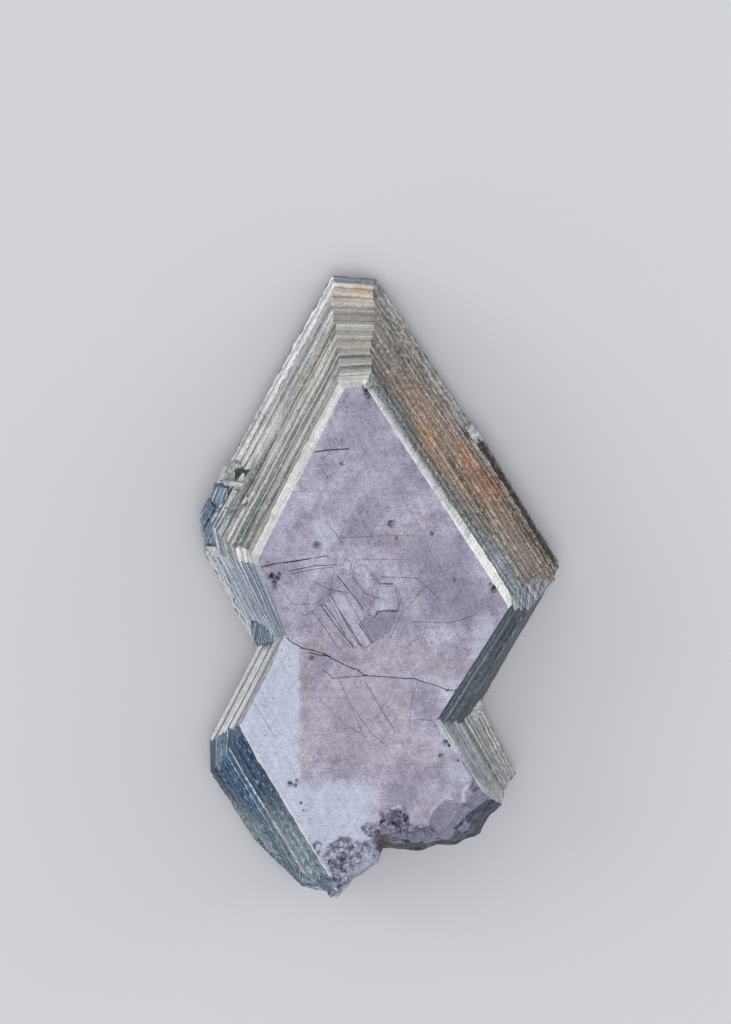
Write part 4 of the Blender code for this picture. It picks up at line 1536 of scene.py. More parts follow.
def side_material(name, look, groups, seed):
    """A striated side: zones of colour across it, tarnish in spots, bright lines painted as
    highlights and grooves painted dark as shade.
    """
    look = {**PLAIN_LOOK, **look}
    material, tree, shader = new_material("side_" + name, look["metallic"], look["roughness"])
    line, groove, sparkle = tint(look["line"]), tint(look["groove"]), look["sparkle"]
    fine, broad, grains, patch, hatch, share, across = use_group(
        tree, groups["lines"], {"Density": look["density"], "Seed": seed},
        "Fine", "Broad", "Grain", "Patch", "Hatch", "Share", "Across")
    signed = minus(tree, patch, 0.5)
    shifted = plus(tree, across, times(tree, signed, look["drift"]))
    shifted = minus(tree, shifted, times(tree, share, look["slant"]))
    colour = colour_ramp(tree, shifted, look["zones"])
    if "far_zones" in look:
        turned = remap(tree, plus(tree, share, times(tree, signed, 0.6)), *look["turn"])
        colour = mixed(tree, turned, colour, colour_ramp(tree, shifted, look["far_zones"]))
    for spot in look["spots"]:
        values = {key: value / 100 for key, value in zip(SPOT_INPUTS, spot)}
        mask, = use_group(tree, groups["spot"], {
            "Share": share, "Across": across, "Patch": patch, **values}, "Mask")
        colour = mixed(tree, mask, colour, tint(spot[len(SPOT_INPUTS):]))
    contrast = look["contrast"]
    colour = toned(tree, colour, broad, 0.0, 1.0, 1.0 - contrast, 1.0 + 0.6 * contrast)
    grit, mottle = use_group(tree, groups["mottle"], {"Grain Scale": 11000.0}, "Grain", "Mottle")
    for value, low, high, amount in ((grit, 0.3, 0.7, look["grit"]),
                                     (mottle, 0.35, 0.65, look["blotch"]),
                                     (patch, 0.35, 0.65, look["plates"])):
        colour = toned(tree, colour, value, low, high, 1.0 - amount, 1.0 + amount)
    # Painted highlights on the bright fine lines and on the top edge of each ledge, and painted
    # shade at the foot of each wall and in the grooves.
    relief = attribute(tree, "relief")
    bright = times(tree, remap(tree, fine, look["line_from"], look["line_from"] + 0.14),
                   remap(tree, patch, 0.38, 0.55, 0.35, 1.0))
    ridge = times(tree, remap(tree, relief, 0.15, 0.8), remap(tree, fine, 0.1, 0.6))
    bright = maths(tree, "MAXIMUM", times(tree, bright, look["lines"]),
                   times(tree, ridge, look["ridge"]))
    sunk = maths(tree, "MAXIMUM", times(tree, remap(tree, relief, -0.2, -0.8), look["sunk"]),
                 times(tree, remap(tree, fine, 0.26, 0.08), look["grooves"]))
    # Mixes in the painted highlights and shade, and bright grains as painted glints.
    for factor, tone in (
        (bright, line), (sunk, groove),
        (times(tree, remap(tree, grains, 0.55, 0.72), sparkle), line),
        (times(tree, remap(tree, grains, 0.45, 0.3), sparkle), groove),
        (times(tree, hatch, look["hatch"]), groove),
    ):
        colour = mixed(tree, factor, colour, tone)
    height = plus(tree, fine, times(tree, grains, 2.0 * sparkle))
    connect(tree, shader, {
        "Base Color": colour,
        "Roughness": remap(tree, grains, 0.3, 0.7, look["roughness"] - 0.08,
                           look["roughness"] + 0.12),
        "Normal": bumped(tree, height, look["bump"], 0.00006)})
    return material


def front_material(surface, groups):
    """The broad front face: lavender metal with paler, warmer and darker zones, partly painted
    sheen and painted shade, and painted shade in its trenches, pits and cracks.
    """
    material, tree, shader = new_material("front_face", surface.metallic, surface.roughness)
    grains, lumps, cloud, specks, cracks = use_group(
        tree, groups["mottle"], {"Grain Scale": 12000.0},
        "Grain", "Mottle", "Cloud", "Specks", "Cracks")
    colour = mixed(tree, remap(tree, cloud, 0.38, 0.62), linear(surface.front_dark),
                   linear(surface.front))
    # The dusky tone mixed in here is partly painted shade.
    for tone, shown in (("warm", surface.warm), ("tan", surface.tan), ("dusk", surface.dusk)):
        share = times(tree, attribute(tree, tone), remap(tree, lumps, 0.3, 0.62, 0.4, 1.0))
        colour = mixed(tree, share, colour, linear(shown))
    colour = toned(tree, colour, lumps, 0.3, 0.7, 0.84, 1.13)
    even = minus(tree, 1.0, attribute(tree, "warm"), clamp=True)
    colour = toned(tree, colour, grains, 0.3, 0.7, 0.8, 1.2, even)
    share = times(tree, attribute(tree, "pale"), remap(tree, lumps, 0.3, 0.55, 0.8, 1.0))
    colour = mixed(tree, share, colour, linear(surface.pale))
    colour = toned(tree, colour, grains, 0.3, 0.7, 0.8, 1.2)
    height = times(tree, grains, 0.8)
    for angle, length, width, seed, share, tone in SCRATCH_DIRECTIONS:
        scratches, streaks = use_group(tree, groups["scratches"], {
            "Angle": math.radians(angle), "Length": length, "Width": width, "Seed": seed},
            "Scratches", "Streaks")
        colour = toned(tree, colour, streaks, 0.35, 0.65, 1.0 - 0.3 * share, 1.0 + 0.22 * share)
        thin = times(tree, scratches, share)
        colour = mixed(tree, thin, colour, linear(getattr(surface, tone)))
        height = minus(tree, height, thin)
    rough = attribute(tree, "rough")
    # Painted shade: the rough places are darkened in lumps with the dusky colour.
    shaded = times(tree, rough, remap(tree, lumps, 0.54, 0.42, 0.0, 0.7))
    colour = mixed(tree, shaded, colour, linear(surface.dusk), "MULTIPLY")
    # Painted shade in cracks, trenches and pits, mixed with the specks in the speck colour.
    cracked = times(tree, times(tree, cracks, rough), 0.35)
    dark = maths(tree, "MAXIMUM", times(tree, attribute(tree, "dark"), 0.85), cracked)
    dark = maths(tree, "MAXIMUM", dark, times(tree, specks, 0.5))
    colour = mixed(tree, dark, colour, linear(surface.speck))
    connect(tree, shader, {
        "Base Color": colour,
        "Roughness": remap(tree, lumps, 0.3, 0.7, surface.roughness + 0.06,
                           surface.roughness - 0.04),
        "Normal": bumped(tree, minus(tree, height, cracked), 0.35, 0.00003)})
    return material


def rough_material(name, look, groups):
    """Broken or hidden surfaces: two colours in lumps, with dark cracks and pale grains; facets
    painted lighter and darker as lit and shaded, painted highlights on rims and grains, and painted
    shade in the cracks.
    """
    material, tree, shader = new_material(name, look["metallic"], look["roughness"])
    line, dark, sparkle = tint(look["line"]), tint(look["dark"]), look["sparkle"]
    grains, lumps, cloud, cracks, facets, rims = use_group(
        tree, groups["mottle"], {"Grain Scale": look["scale"]},
        "Grain", "Mottle", "Cloud", "Cracks", "Facets", "Rims")
    colour = mixed(tree, remap(tree, cloud, 0.4, 0.6), tint(look["groove"]), tint(look["body"]))
    # Painted light: each facet is made lighter where it would face the lamps and darker where it
    # would face away, with painted highlights on the rims of the hollows.
    colour = toned(tree, colour, facets, 0.2, 0.8, 1.0 - look["facets"], 1.0 + look["facets"])
    rims = times(tree, rims, remap(tree, lumps, 0.46, 0.6, 0.0, look["rims"]))
    colour = toned(tree, mixed(tree, rims, colour, line), lumps, 0.3, 0.7, 0.75, 1.2)
    # Pale grains as painted glints, dark grains, and painted shade in the cracks.
    for factor, tone in (
        (remap(tree, grains, 0.56, 0.72, 0.0, sparkle), line),
        (remap(tree, grains, 0.45, 0.3, 0.0, sparkle), dark),
        (times(tree, cracks, look["cracks"]), dark),
    ):
        colour = mixed(tree, factor, colour, tone)
    if "inner" in look:
        # Painted light: the inner zone next to the front face is coloured as lit, with a painted
        # highlight along its edge.
        uneven = times(tree, minus(tree, facets, 0.5), 0.5)
        inner = remap(tree, plus(tree, map_parts(tree, "side")[1], uneven),
                      look["inner_share"] + 0.02, look["inner_share"] - 0.02)
        lit = toned(tree, tint(look["inner"]), lumps, 0.3, 0.7, 0.75, 1.2)
        colour = mixed(tree, times(tree, inner, 0.85), colour, lit)
        edge = times(tree, inner, minus(tree, 1.0, inner))
        colour = mixed(tree, times(tree, edge, 2.4, clamp=True), colour, line)
    if "stain" in look:
        shown = times(tree, attribute(tree, "tan"), 0.7)
        colour = mixed(tree, shown, colour, tint(look["stain"]))
    height = plus(tree, lumps, times(tree, grains, 0.5))
    connect(tree, shader, {
        "Base Color": colour, "Normal": bumped(tree, height, look["bump"], 0.0002)})
    return material


# What the numbers of a spot set, in their order
SPOT_INPUTS = ("Centre Share", "Centre Across", "Share Reach", "Across Reach", "Strength")

# Scratches on the front face: direction in degrees, length and width in metres, seed, strength
# and which colour of the front face they have
SCRATCH_DIRECTIONS = (
    (0.0, 0.007, 0.0001, 1.0, 0.18, "speck"),
    (62.0, 0.01, 0.0001, 2.0, 0.2, "speck"),
    (-61.0, 0.01, 0.0001, 3.0, 0.24, "pale"),
    (-76.0, 0.012, 0.00009, 4.0, 0.18, "pale"),
)

# How a side looks where its own look says nothing else
PLAIN_LOOK = dict(
    metallic=0.55, roughness=0.36, density=2.1, drift=0.04, contrast=0.3, line_from=0.68,
    lines=0.75, ridge=0.6, sunk=0.55, grooves=0.75, sparkle=0.4, grit=0.3, blotch=0.12,
    plates=0.12, hatch=0.0, slant=0.0, bump=0.5, spots=(),
)

# Looks of the surfaces. Colours, zones and spots are in percent. A zone is a place across the
# side and its colour; far_zones are the zones further along. A spot is its place along and across
# the side, its reach both ways, its strength and its colour.
# On the sides, the light and dark bands are partly the metal's own tarnish and partly painted
# reflection of the floor and lamps, and the narrow near-white zones are painted highlights on
# ledges that catch the lamps.
LOOKS = {
    # Bevel looks: the near-white bands are painted highlights along the narrow bevels.
    "bevel": dict(
        zones=((0, 90, 90, 90), (12, 88, 88, 86)),
        groove=(50, 50, 49), line=(99, 99, 98), density=2.6, contrast=0.2, lines=0.5, ridge=0.8,
        sunk=0.3, grooves=0.5, grit=0.22, hatch=0.15, roughness=0.34,
    ),
    "white_bevel": dict(
        zones=((0, 92, 92, 93), (5, 84, 85, 86), (11, 70, 72, 73)),
        far_zones=((0, 100, 100, 98), (12, 99, 99, 96)),
        turn=(0.5, 0.8), groove=(40, 44, 46), line=(100, 100, 99), density=2.6, contrast=0.12,
        lines=0.5, ridge=0.0, sunk=0.2, grooves=0.3, sparkle=0.3, grit=0.2, hatch=0.3,
        roughness=0.34,
    ),
    "thin_bevel": dict(
        zones=((0, 100, 100, 100), (12, 98, 99, 100)),
        groove=(50, 54, 58), line=(100, 100, 100), contrast=0.1, lines=0.4, ridge=0.0, sunk=0.0,
        grooves=0.3, sparkle=0.3, grit=0.16,
    ),
    "worn_bevel": dict(
        zones=((0, 100, 100, 100), (5, 95, 97, 98), (12, 80, 83, 86)),
        far_zones=((0, 60, 62, 66), (12, 50, 52, 55)),
        turn=(0.5, 0.64), groove=(30, 32, 34), line=(100, 100, 100), ridge=0.3, sunk=0.2,
        sparkle=0.6, grit=0.35, blotch=0.3,
    ),
    "grey_bevel": dict(
        zones=((0, 64, 67, 70), (12, 50, 53, 55)),
        far_zones=((0, 90, 91, 90), (12, 84, 85, 84)),
        turn=(0.6, 0.85), groove=(34, 37, 38), line=(96, 97, 96), density=3.0, sunk=0.2,
        sparkle=0.6, grit=0.4, blotch=0.3,
    ),
    "upper_left": dict(
        zones=(
            (14, 72, 72, 71), (22, 52, 53, 52), (29, 56, 57, 57), (36, 43, 44, 45),
            (46, 64, 64, 63), (54, 67, 67, 65), (59, 72, 72, 71), (64, 70, 70, 70),
            (69, 86, 86, 85), (73, 84, 85, 85), (78, 60, 61, 62), (84, 87, 87, 88),
            (92, 85, 85, 86),
        ),
        spots=((18, 34, 13, 8, 100, 42, 46, 47), (32, 60, 12, 5, 80, 50, 53, 54),
               (78, 50, 20, 14, 70, 80, 78, 74), (6, 70, 9, 12, 100, 42, 50, 56),
               (12, 12, 8, 10, 70, 74, 71, 66)),
        groove=(20, 21, 20), line=(99, 99, 97), density=2.5, contrast=0.34, line_from=0.62,
        lines=0.9, ridge=0.8, sparkle=0.6, drift=0.07, plates=0.24,
    ),
    "left_end": dict(
        zones=(
            (5, 84, 84, 84), (20, 88, 88, 87), (34, 98, 98, 96), (42, 74, 76, 77),
            (50, 62, 65, 66), (60, 62, 65, 66), (70, 50, 54, 59), (78, 62, 68, 75),
            (84, 58, 64, 71), (92, 44, 50, 57),
        ),
        groove=(22, 25, 27), line=(99, 99, 98), drift=0.25, line_from=0.6, lines=0.85, sparkle=0.6,
        grit=0.35, contrast=0.35,
    ),
    # The near-white stripes are painted highlights.
    "lobe_stripes": dict(
        zones=(
            (5, 76, 78, 83), (13, 64, 66, 70), (17, 46, 48, 50), (24, 38, 40, 42),
            (26.5, 94, 95, 96), (41, 100, 100, 100), (43.5, 30, 31, 31), (47.5, 36, 37, 37),
            (50, 97, 98, 98), (71, 100, 100, 100), (74, 50, 51, 51), (80, 54, 55, 55),
            (82, 94, 95, 96), (95, 99, 99, 100),
        ),
        spots=((100, 25, 20, 6, 80, 82, 84, 87),),
        groove=(30, 31, 30), line=(100, 100, 100), drift=0.05, density=3.0, line_from=0.58,
        lines=0.9, ridge=0.4, sunk=0.2, grooves=0.5, contrast=0.16, grit=0.34, blotch=0.1,
        sparkle=0.55, hatch=0.12,
    ),
    "apex": dict(
        zones=(
            (5, 90, 90, 88), (16, 80, 80, 77), (18.5, 28, 28, 27), (21, 80, 80, 77),
            (26, 72, 72, 70), (28.5, 28, 28, 27), (31, 79, 78, 75), (42, 76, 74, 70),
            (54, 76, 74, 69), (56.5, 100, 100, 98), (58.5, 42, 42, 40), (62, 70, 69, 67),
            (69, 66, 65, 63), (73, 82, 80, 76), (82, 86, 81, 76), (93, 87, 85, 82),
            (94.5, 34, 34, 38), (96, 62, 64, 69),
        ),
        spots=((70, 86, 30, 8, 80, 88, 77, 66),),
        groove=(30, 30, 28), line=(98, 98, 95), density=3.4, drift=0.012, line_from=0.66,
        lines=0.65, ridge=0.4, sunk=0.4, grooves=0.65, contrast=0.22, grit=0.22,
    ),
    "upper_right": dict(
        zones=(
            (9, 75, 77, 78), (13, 55, 58, 59), (17, 44, 48, 49), (23, 33, 36, 37),
            (28, 33, 32, 31), (36, 58, 53, 49), (48, 68, 62, 57), (62, 65, 59, 53),
            (72, 62, 57, 53), (79, 54, 51, 49), (84, 62, 60, 58), (90, 65, 64, 63),
        ),
        far_zones=(
            (16, 56, 58, 60), (25, 56, 58, 61), (36, 60, 60, 60), (48, 58, 56, 53),
            (62, 59, 54, 49), (76, 55, 49, 44), (86, 50, 46, 42), (94, 46, 44, 42),
        ),
        spots=((0, 66, 20, 34, 80, 55, 55, 54), (46, 42, 24, 22, 80, 68, 57, 49),
               (60, 66, 18, 16, 85, 70, 53, 43), (37, 36, 6, 7, 80, 76, 60, 42),
               (52, 50, 5, 6, 60, 50, 50, 47), (66, 80, 7, 8, 80, 66, 46, 38),
               (30, 60, 14, 10, 50, 62, 52, 47), (72, 40, 8, 6, 60, 52, 52, 46),
               (100, 24, 22, 10, 100, 58, 63, 67)),
        turn=(0.5, 0.9), groove=(20, 19, 17), line=(92, 89, 85), line_from=0.78, lines=0.34,
        ridge=0.3, sunk=0.4, blotch=0.36, grooves=0.34, sparkle=0.8, grit=0.62, contrast=0.12,
        plates=0.32, drift=0.1, roughness=0.38, bump=0.35, hatch=0.14,
    ),
    "right_end": dict(
        zones=(
            (10, 90, 90, 91), (14, 62, 64, 66), (21, 54, 59, 63), (30, 52, 57, 62),
            (36, 47, 50, 53), (38.5, 36, 38, 40), (40, 98, 98, 99), (42.5, 58, 58, 61),
            (54, 58, 59, 62), (56, 34, 36, 38), (60, 58, 60, 62), (74, 48, 51, 53),
            (84, 38, 41, 43), (95, 38, 40, 43),
        ),
        groove=(18, 20, 21), line=(100, 100, 100), drift=0.02, contrast=0.45, line_from=0.66,
        lines=0.9, sparkle=0.55, roughness=0.38,
    ),
    "shoulder": dict(
        zones=((0, 37, 34, 29), (50, 37, 35, 32), (70, 42, 41, 41)),
        groove=(20, 18, 16), line=(82, 79, 73), density=1.4, line_from=0.76, lines=0.4, ridge=0.0,
        sunk=0.0, grooves=0.5, sparkle=0.65, grit=0.4, blotch=0.3, roughness=0.4,
    ),
    "slate": dict(
        zones=(
            (0, 34, 37, 44), (20, 37, 40, 46), (28, 42, 45, 49), (33, 25, 28, 32),
            (37, 29, 32, 36), (43, 38, 42, 45), (62, 35, 38, 42), (76, 25, 28, 31),
            (95, 23, 26, 29),
        ),
        spots=((45, 30, 7, 5, 60, 60, 63, 64), (72, 28, 5, 4, 50, 58, 61, 62),
               (12, 70, 30, 35, 80, 25, 28, 32)),
        groove=(14, 16, 18), line=(66, 70, 72), density=1.6, line_from=0.78, lines=0.6, ridge=0.15,
        sunk=0.2, grooves=0.5, sparkle=0.65, contrast=0.18, grit=0.38, roughness=0.4,
    ),
    "blue": dict(
        zones=(
            (4, 54, 62, 66), (25, 59, 65, 69), (39.5, 60, 66, 70), (40.5, 98, 99, 99),
            (42, 98, 99, 99), (43, 44, 51, 56), (51, 44, 51, 56), (52, 84, 89, 92),
            (53, 42, 49, 55), (66, 40, 47, 53), (71, 50, 57, 61), (82.5, 47, 54, 58),
            (83.5, 92, 94, 95), (84.5, 47, 53, 57), (95, 46, 52, 55),
        ),
        far_zones=(
            (4, 23, 35, 46), (20, 13, 27, 42), (36, 12, 26, 42), (39.5, 26, 38, 48),
            (40.5, 98, 100, 100), (42, 98, 100, 100), (43, 32, 47, 58), (51, 25, 42, 56),
            (52, 78, 90, 98), (53, 24, 40, 55), (62, 25, 41, 56), (63, 54, 67, 79),
            (64, 19, 33, 47), (75, 18, 31, 45), (90, 17, 28, 39),
        ),
        spots=((100, 12, 2, 10, 90, 42, 49, 57), (100, 74, 2, 18, 90, 46, 54, 62),
               (60, 20, 10, 12, 50, 34, 42, 48), (30, 95, 30, 14, 80, 52, 58, 60)),
        turn=(0.3, 0.6), groove=(7, 11, 18), line=(84, 90, 93), drift=0.006, slant=0.06,
        line_from=0.76, lines=0.6, ridge=0.1, blotch=0.3, sunk=0.2, grooves=0.5, sparkle=0.75,
        contrast=0.2, grit=0.55, hatch=0.35,
    ),
    "steel": dict(
        zones=(
            (4, 55, 60, 65), (18, 46, 52, 59), (30, 50, 55, 63), (38, 46, 52, 60),
            (50, 48, 54, 63), (62, 54, 59, 67), (70, 70, 73, 79), (78, 54, 58, 63),
            (84, 78, 80, 82), (95, 70, 71, 73),
        ),
        spots=((90, 6, 28, 12, 85, 70, 74, 79), (95, 60, 10, 14, 70, 78, 79, 80),
               (25, 45, 20, 12, 60, 40, 47, 59)),
        groove=(14, 18, 26), line=(95, 96, 99), drift=0.08, line_from=0.6, lines=1.0, ridge=0.85,
        sparkle=0.6, grit=0.36, contrast=0.5,
    ),
    "wedge": dict(
        zones=(
            (6, 84, 87, 90), (14, 66, 70, 74), (25, 56, 61, 65), (34, 60, 63, 65),
            (40, 70, 72, 74), (48, 62, 64, 66), (60, 62, 63, 63), (68, 58, 59, 59),
            (75, 70, 70, 69), (88, 60, 60, 59),
        ),
        spots=((95, 30, 12, 40, 70, 76, 77, 79), (5, 90, 20, 25, 70, 72, 72, 72)),
        groove=(26, 28, 28), line=(97, 98, 97), line_from=0.6, lines=0.95, sparkle=0.65, grit=0.45,
        contrast=0.4, blotch=0.28, hatch=0.2,
    ),
    "block": dict(
        zones=((0, 40, 48, 57), (90, 36, 42, 50)),
        groove=(14, 19, 27), line=(88, 92, 95), density=1.5, line_from=0.58, lines=0.8, ridge=0.0,
        sunk=0.0, grooves=0.8, sparkle=0.7, contrast=0.5, grit=0.4,
    ),
    "shard": dict(
        zones=((0, 76, 77, 77), (90, 66, 67, 68)),
        groove=(38, 40, 42), line=(98, 98, 97), density=1.8, line_from=0.6, lines=0.55, ridge=0.0,
        sunk=0.0, grooves=0.5, sparkle=0.6, contrast=0.35, grit=0.34, metallic=0.6,
    ),
    "pitted": dict(
        groove=(20, 24, 22), body=(42, 47, 43), line=(80, 82, 78), dark=(8, 10, 10), scale=5000.0,
        sparkle=0.8, cracks=0.5, bump=0.9, facets=0.0, rims=0.0, metallic=0.7, roughness=0.4,
    ),
    "broken": dict(
        groove=(20, 22, 27), body=(36, 38, 45), line=(70, 71, 78), dark=(7, 8, 11), scale=8000.0,
        sparkle=0.45, cracks=0.1, facets=0.4, rims=0.3, bump=0.8, metallic=0.7, roughness=0.4,
        stain=(30, 26, 24), inner=(61, 60, 68), inner_share=0.4,
    ),
    "tip": dict(
        groove=(52, 53, 62), body=(75, 76, 85), line=(94, 95, 100), dark=(27, 27, 34),
        scale=6000.0, sparkle=0.6, cracks=0.35, facets=0.25, rims=0.2, bump=0.6, metallic=0.7,
        roughness=0.38,
    ),
    "back": dict(
        groove=(40, 41, 44), body=(55, 55, 59), line=(70, 70, 74), dark=(25, 25, 29), scale=6000.0,
        sparkle=0.3, cracks=0.15, facets=0.12, rims=0.1, bump=0.5, metallic=0.8, roughness=0.42,
    ),
}


def all_materials(surface):
    """One material for each kind of surface, in the order of KINDS, then those of the pieces."""
    groups = {"lines": lines_group(), "spot": spot_group(), "mottle": mottle_group(),
              "scratches": scratches_group()}
    made = []
    for number, kind in enumerate(KINDS + PIECE_KINDS):
        if kind == "front_face":
            made.append(front_material(surface, groups))
        elif kind in ROUGH_KINDS:
            made.append(rough_material("rough_" + kind, LOOKS[kind], groups))
        else:
            made.append(side_material(kind, LOOKS[kind], groups, 3.7 * number))
    return made


def material_of(kind):
    """The finished material of one kind of surface."""
    return bpy.data.materials[("rough_" if kind in ROUGH_KINDS else "side_") + kind]


def finished(thing):
    """Says that a piece is part of the specimen and shows in place of the plain solid."""
    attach(thing, "root")
    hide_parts(NODE)


# Settings, operators and the panel


class GrowthSettings(bpy.types.PropertyGroup):
    line_depth: FloatProperty(
        name="Line Depth", description="How far the fine growth lines stand in and out",
        default=0.00003, min=0.0, max=0.0002, precision=6, unit="LENGTH")
    lines_per_mm: FloatProperty(
        name="Lines per Millimetre", description="How closely the fine growth lines follow",
        default=3.4, min=0.5, max=12.0)
    grain_density: FloatProperty(
        name="Grain Density", description="Broken grains on each square metre of rough surface",
        default=3.0e6, min=0.0, max=1.0e8)
    seed: IntProperty(name="Seed", description="Which random pattern is used", default=3, min=0)


class SurfaceSettings(bpy.types.PropertyGroup):
    front: FloatVectorProperty(
        name="Front", description="Main colour of the front face", subtype="COLOR", size=3,
        default=(0.7, 0.68, 0.745), min=0.0, max=1.0)
    front_dark: FloatVectorProperty(
        name="Front Mottle", description="Darker mottling of the front face", subtype="COLOR",
        size=3, default=(0.58, 0.555, 0.63), min=0.0, max=1.0)
    # The pale colour is partly painted sheen, and also the painted highlight on the bright facet
    # and along the rims of the tilted breaks.
    pale: FloatVectorProperty(
        name="Pale Zones", description="Pale blue zones of the front face", subtype="COLOR",
        size=3, default=(0.735, 0.75, 0.82), min=0.0, max=1.0)
    warm: FloatVectorProperty(
        name="Warm Zones", description="Warm zones of the front face", subtype="COLOR", size=3,
        default=(0.675, 0.645, 0.685), min=0.0, max=1.0)
    tan: FloatVectorProperty(
        name="Tan Zones", description="Brownish zones of the front face", subtype="COLOR", size=3,
        default=(0.61, 0.57, 0.575), min=0.0, max=1.0)
    # The dusky colour is partly painted shade.
    dusk: FloatVectorProperty(
        name="Dim Tone and Painted Shade", description="Dark zones of the front face", subtype="COLOR", size=3,
        default=(0.5, 0.48, 0.57), min=0.0, max=1.0)
    # Also the colour of the painted shade in trenches, pits and cracks.
    speck: FloatVectorProperty(
        name="Specks", description="Colour of specks, pits and cracks", subtype="COLOR", size=3,
        default=(0.25, 0.23, 0.29), min=0.0, max=1.0)
    roughness: FloatProperty(
        name="Roughness", description="Roughness of the front face", default=0.38, min=0.0,
        max=1.0, subtype="FACTOR")
    metallic: FloatProperty(
        name="Metallic", description="How metallic the front face is", default=0.75, min=0.0,
        max=1.0, subtype="FACTOR")


class StageSettings(bpy.types.PropertyGroup):
    floor_colour: FloatVectorProperty(
        name="Floor", description="Colour of the floor", subtype="COLOR", size=3,
        default=(0.74, 0.74, 0.76), min=0.0, max=1.0)
    floor_size: FloatProperty(
        name="Floor Size", description="Width of the floor", default=3.0, min=0.2, unit="LENGTH")
    light: FloatProperty(
        name="Light", description="Strength of all the lamps", default=1.0, min=0.0)
    surround: FloatProperty(
        name="Surround", description="Strength of the light from all round", default=0.85,
        min=0.0)


class BuildBody(bpy.types.Operator):
    """Build both crystals as one stepped body"""

    bl_idname = "geocronite.body"
    bl_label = "Crystal Body"

    def execute(self, context):
        growth = context.scene.geocronite_growth
        materials = all_materials(context.scene.geocronite_surface)
        body = crystal_body()
        outward_normals(body)
        run_tree(body, growth_tree(materials[:len(KINDS)]), {
            "Line Depth": growth.line_depth,
            "Lines per Millimetre": growth.lines_per_mm,
            "Seed": growth.seed,
        })
        shade(body, BODY_SHARP)
        finished(body)
        return {"FINISHED"}


class BuildPieces(bpy.types.Operator):
    """Build the small pieces grown on the edges and the strip on the upper right side"""

    bl_idname = "geocronite.pieces"
    bl_label = "Grown-on Pieces"

    def execute(self, context):
        for number, (kind, outline, foot, top, fall, uneven) in enumerate(PIECES):
            made = uneven_piece(f"corner_piece_{number}", outline, foot, top, (-fall, 0.0), uneven)
            made.data.materials.append(material_of(kind))
            shade(made, PIECE_SHARP)
            finished(made)
        outline, foot, top, uneven = SHOULDER
        made = uneven_piece("shoulder_strip", outline, foot, top, SHOULDER_FALL, uneven)
        made.data.materials.append(material_of("shoulder"))
        shade(made, PIECE_SHARP)
        finished(made)
        return {"FINISHED"}


class BuildGrains(bpy.types.Operator):
    """Scatter broken grains over the rough places of the front face"""

    bl_idname = "geocronite.grains"
    bl_label = "Broken Grains"

    def execute(self, context):
        growth = context.scene.geocronite_growth
        body = bpy.data.objects["crystal_body"]
        grains = bpy.data.objects.new("broken_grains", body.data.copy())
        context.scene.collection.objects.link(grains)
        run_tree(grains, grain_tree(material_of("broken")), {
            "Density": growth.grain_density,
            "Seed": growth.seed,
        })
        finished(grains)
        return {"FINISHED"}


# Lamps: name, azimuth from +Y towards +X, elevation, distance, size, watts and colour
LAMPS = (
    ("overhead", 180.0, 74.0, 0.9, 0.7, 0.85, (1.0, 0.99, 1.0)),
    ("left_window", -72.0, 26.0, 0.8, 0.5, 1.0, (1.0, 0.99, 0.96)),
    ("right_window", 68.0, 20.0, 0.8, 0.4, 0.6, (1.0, 0.98, 0.94)),
)


FLOOR_ROUGHNESS = 0.7
SURROUND_COLOUR = (0.8, 0.81, 0.84, 1.0)
CLIP_END = 10.0


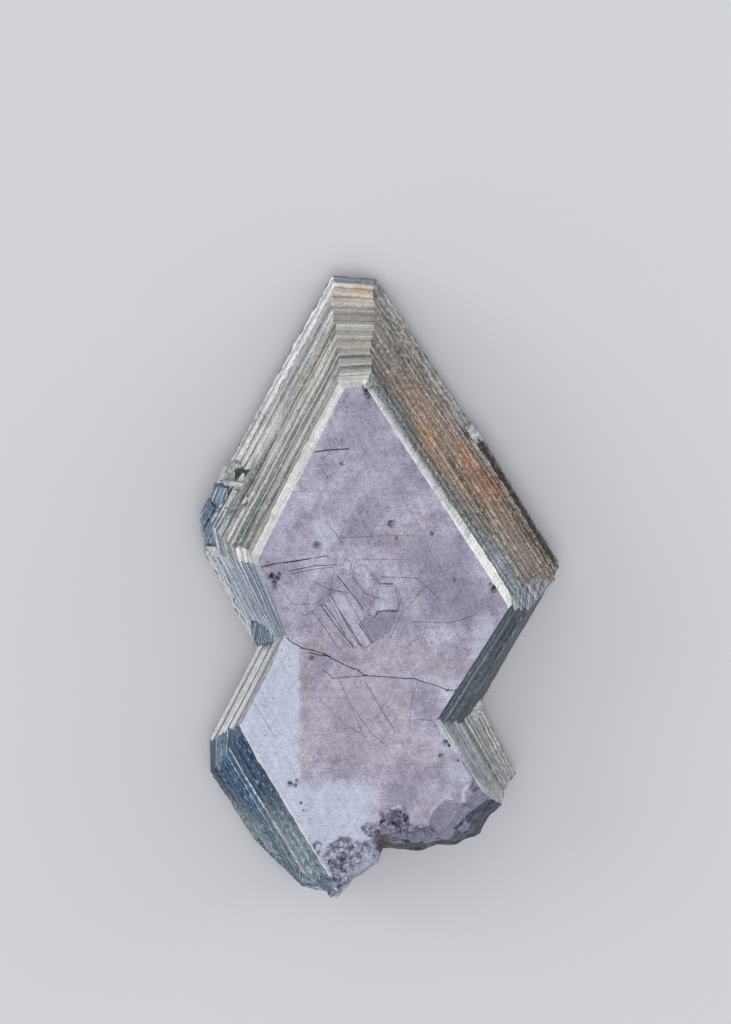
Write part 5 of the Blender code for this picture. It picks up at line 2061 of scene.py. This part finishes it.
class BuildStage(bpy.types.Operator):
    """Set up the floor, the soft lamps and the camera"""

    bl_idname = "geocronite.stage"
    bl_label = "Stage"

    def execute(self, context):
        scene = context.scene
        settings = scene.geocronite_stage
        half = 0.5 * settings.floor_size
        mesh = bpy.data.meshes.new("floor")
        mesh.from_pydata([(-half, -half, 0), (half, -half, 0), (half, half, 0), (-half, half, 0)],
                         [], [(0, 1, 2, 3)])
        floor = bpy.data.objects.new("floor", mesh)
        scene.collection.objects.link(floor)
        material, _, shader = new_material("floor", 0.0, FLOOR_ROUGHNESS)
        shader.inputs["Base Color"].default_value = (*settings.floor_colour, 1.0)
        mesh.materials.append(material)
        for name, azimuth, elevation, distance, size, watts, colour in LAMPS:
            lamp = bpy.data.lights.new(name, "AREA")
            lamp.shape = "DISK"
            lamp.size = size
            lamp.energy = watts * settings.light
            lamp.color = colour
            made = bpy.data.objects.new(name, lamp)
            scene.collection.objects.link(made)
            around, up = math.radians(azimuth), math.radians(elevation)
            towards = Vector((
                math.sin(around) * math.cos(up), math.cos(around) * math.cos(up), math.sin(up)))
            made.location = towards * distance
            made.rotation_euler = towards.to_track_quat("Z", "Y").to_euler()
        world = bpy.data.worlds.new("surround")
        scene.world = world
        world.use_nodes = True
        background = world.node_tree.nodes["Background"]
        background.inputs["Color"].default_value = SURROUND_COLOUR
        background.inputs["Strength"].default_value = settings.surround
        data = bpy.data.cameras.new("camera")
        data.sensor_width = SENSOR
        data.lens = SENSOR * CAMERA_DISTANCE / PICTURE_HEIGHT
        data.clip_end = CLIP_END
        camera = bpy.data.objects.new("camera", data)
        scene.collection.objects.link(camera)
        back = Vector((0.0, math.sin(CAMERA_TILT), math.cos(CAMERA_TILT)))
        camera.location = Vector(CAMERA_TARGET) * MM + back * CAMERA_DISTANCE
        camera.rotation_euler = (-CAMERA_TILT, 0.0, 0.0)
        scene.camera = camera
        scene.view_settings.view_transform = "Standard"
        return {"FINISHED"}


class GeocronitePanel(bpy.types.Panel):
    bl_label = "Geocronite Specimen"
    bl_idname = "VIEW3D_PT_geocronite"
    bl_space_type = "VIEW_3D"
    bl_region_type = "UI"
    bl_category = "Geocronite"

    def draw(self, context):
        scene = context.scene
        for title, settings in (("Growth", scene.geocronite_growth),
                                ("Surface", scene.geocronite_surface),
                                ("Stage", scene.geocronite_stage)):
            box = self.layout.box()
            box.label(text=title)
            for name in settings.__annotations__:
                box.prop(settings, name)
        for operator in OPERATORS:
            self.layout.operator(operator.bl_idname)


OPERATORS = (BuildBody, BuildPieces, BuildGrains, BuildStage)
CLASSES = (GrowthSettings, SurfaceSettings, StageSettings, *OPERATORS, GeocronitePanel)


def register():
    for item in CLASSES:
        bpy.utils.register_class(item)
    bpy.types.Scene.geocronite_growth = PointerProperty(type=GrowthSettings)
    bpy.types.Scene.geocronite_surface = PointerProperty(type=SurfaceSettings)
    bpy.types.Scene.geocronite_stage = PointerProperty(type=StageSettings)


def unregister():
    del bpy.types.Scene.geocronite_stage
    del bpy.types.Scene.geocronite_surface
    del bpy.types.Scene.geocronite_growth
    for item in reversed(CLASSES):
        bpy.utils.unregister_class(item)


def main():
    register()
    bpy.ops.geocronite.body()
    bpy.ops.geocronite.pieces()
    bpy.ops.geocronite.grains()
    bpy.ops.geocronite.stage()


if __name__ == "__main__":
    main()
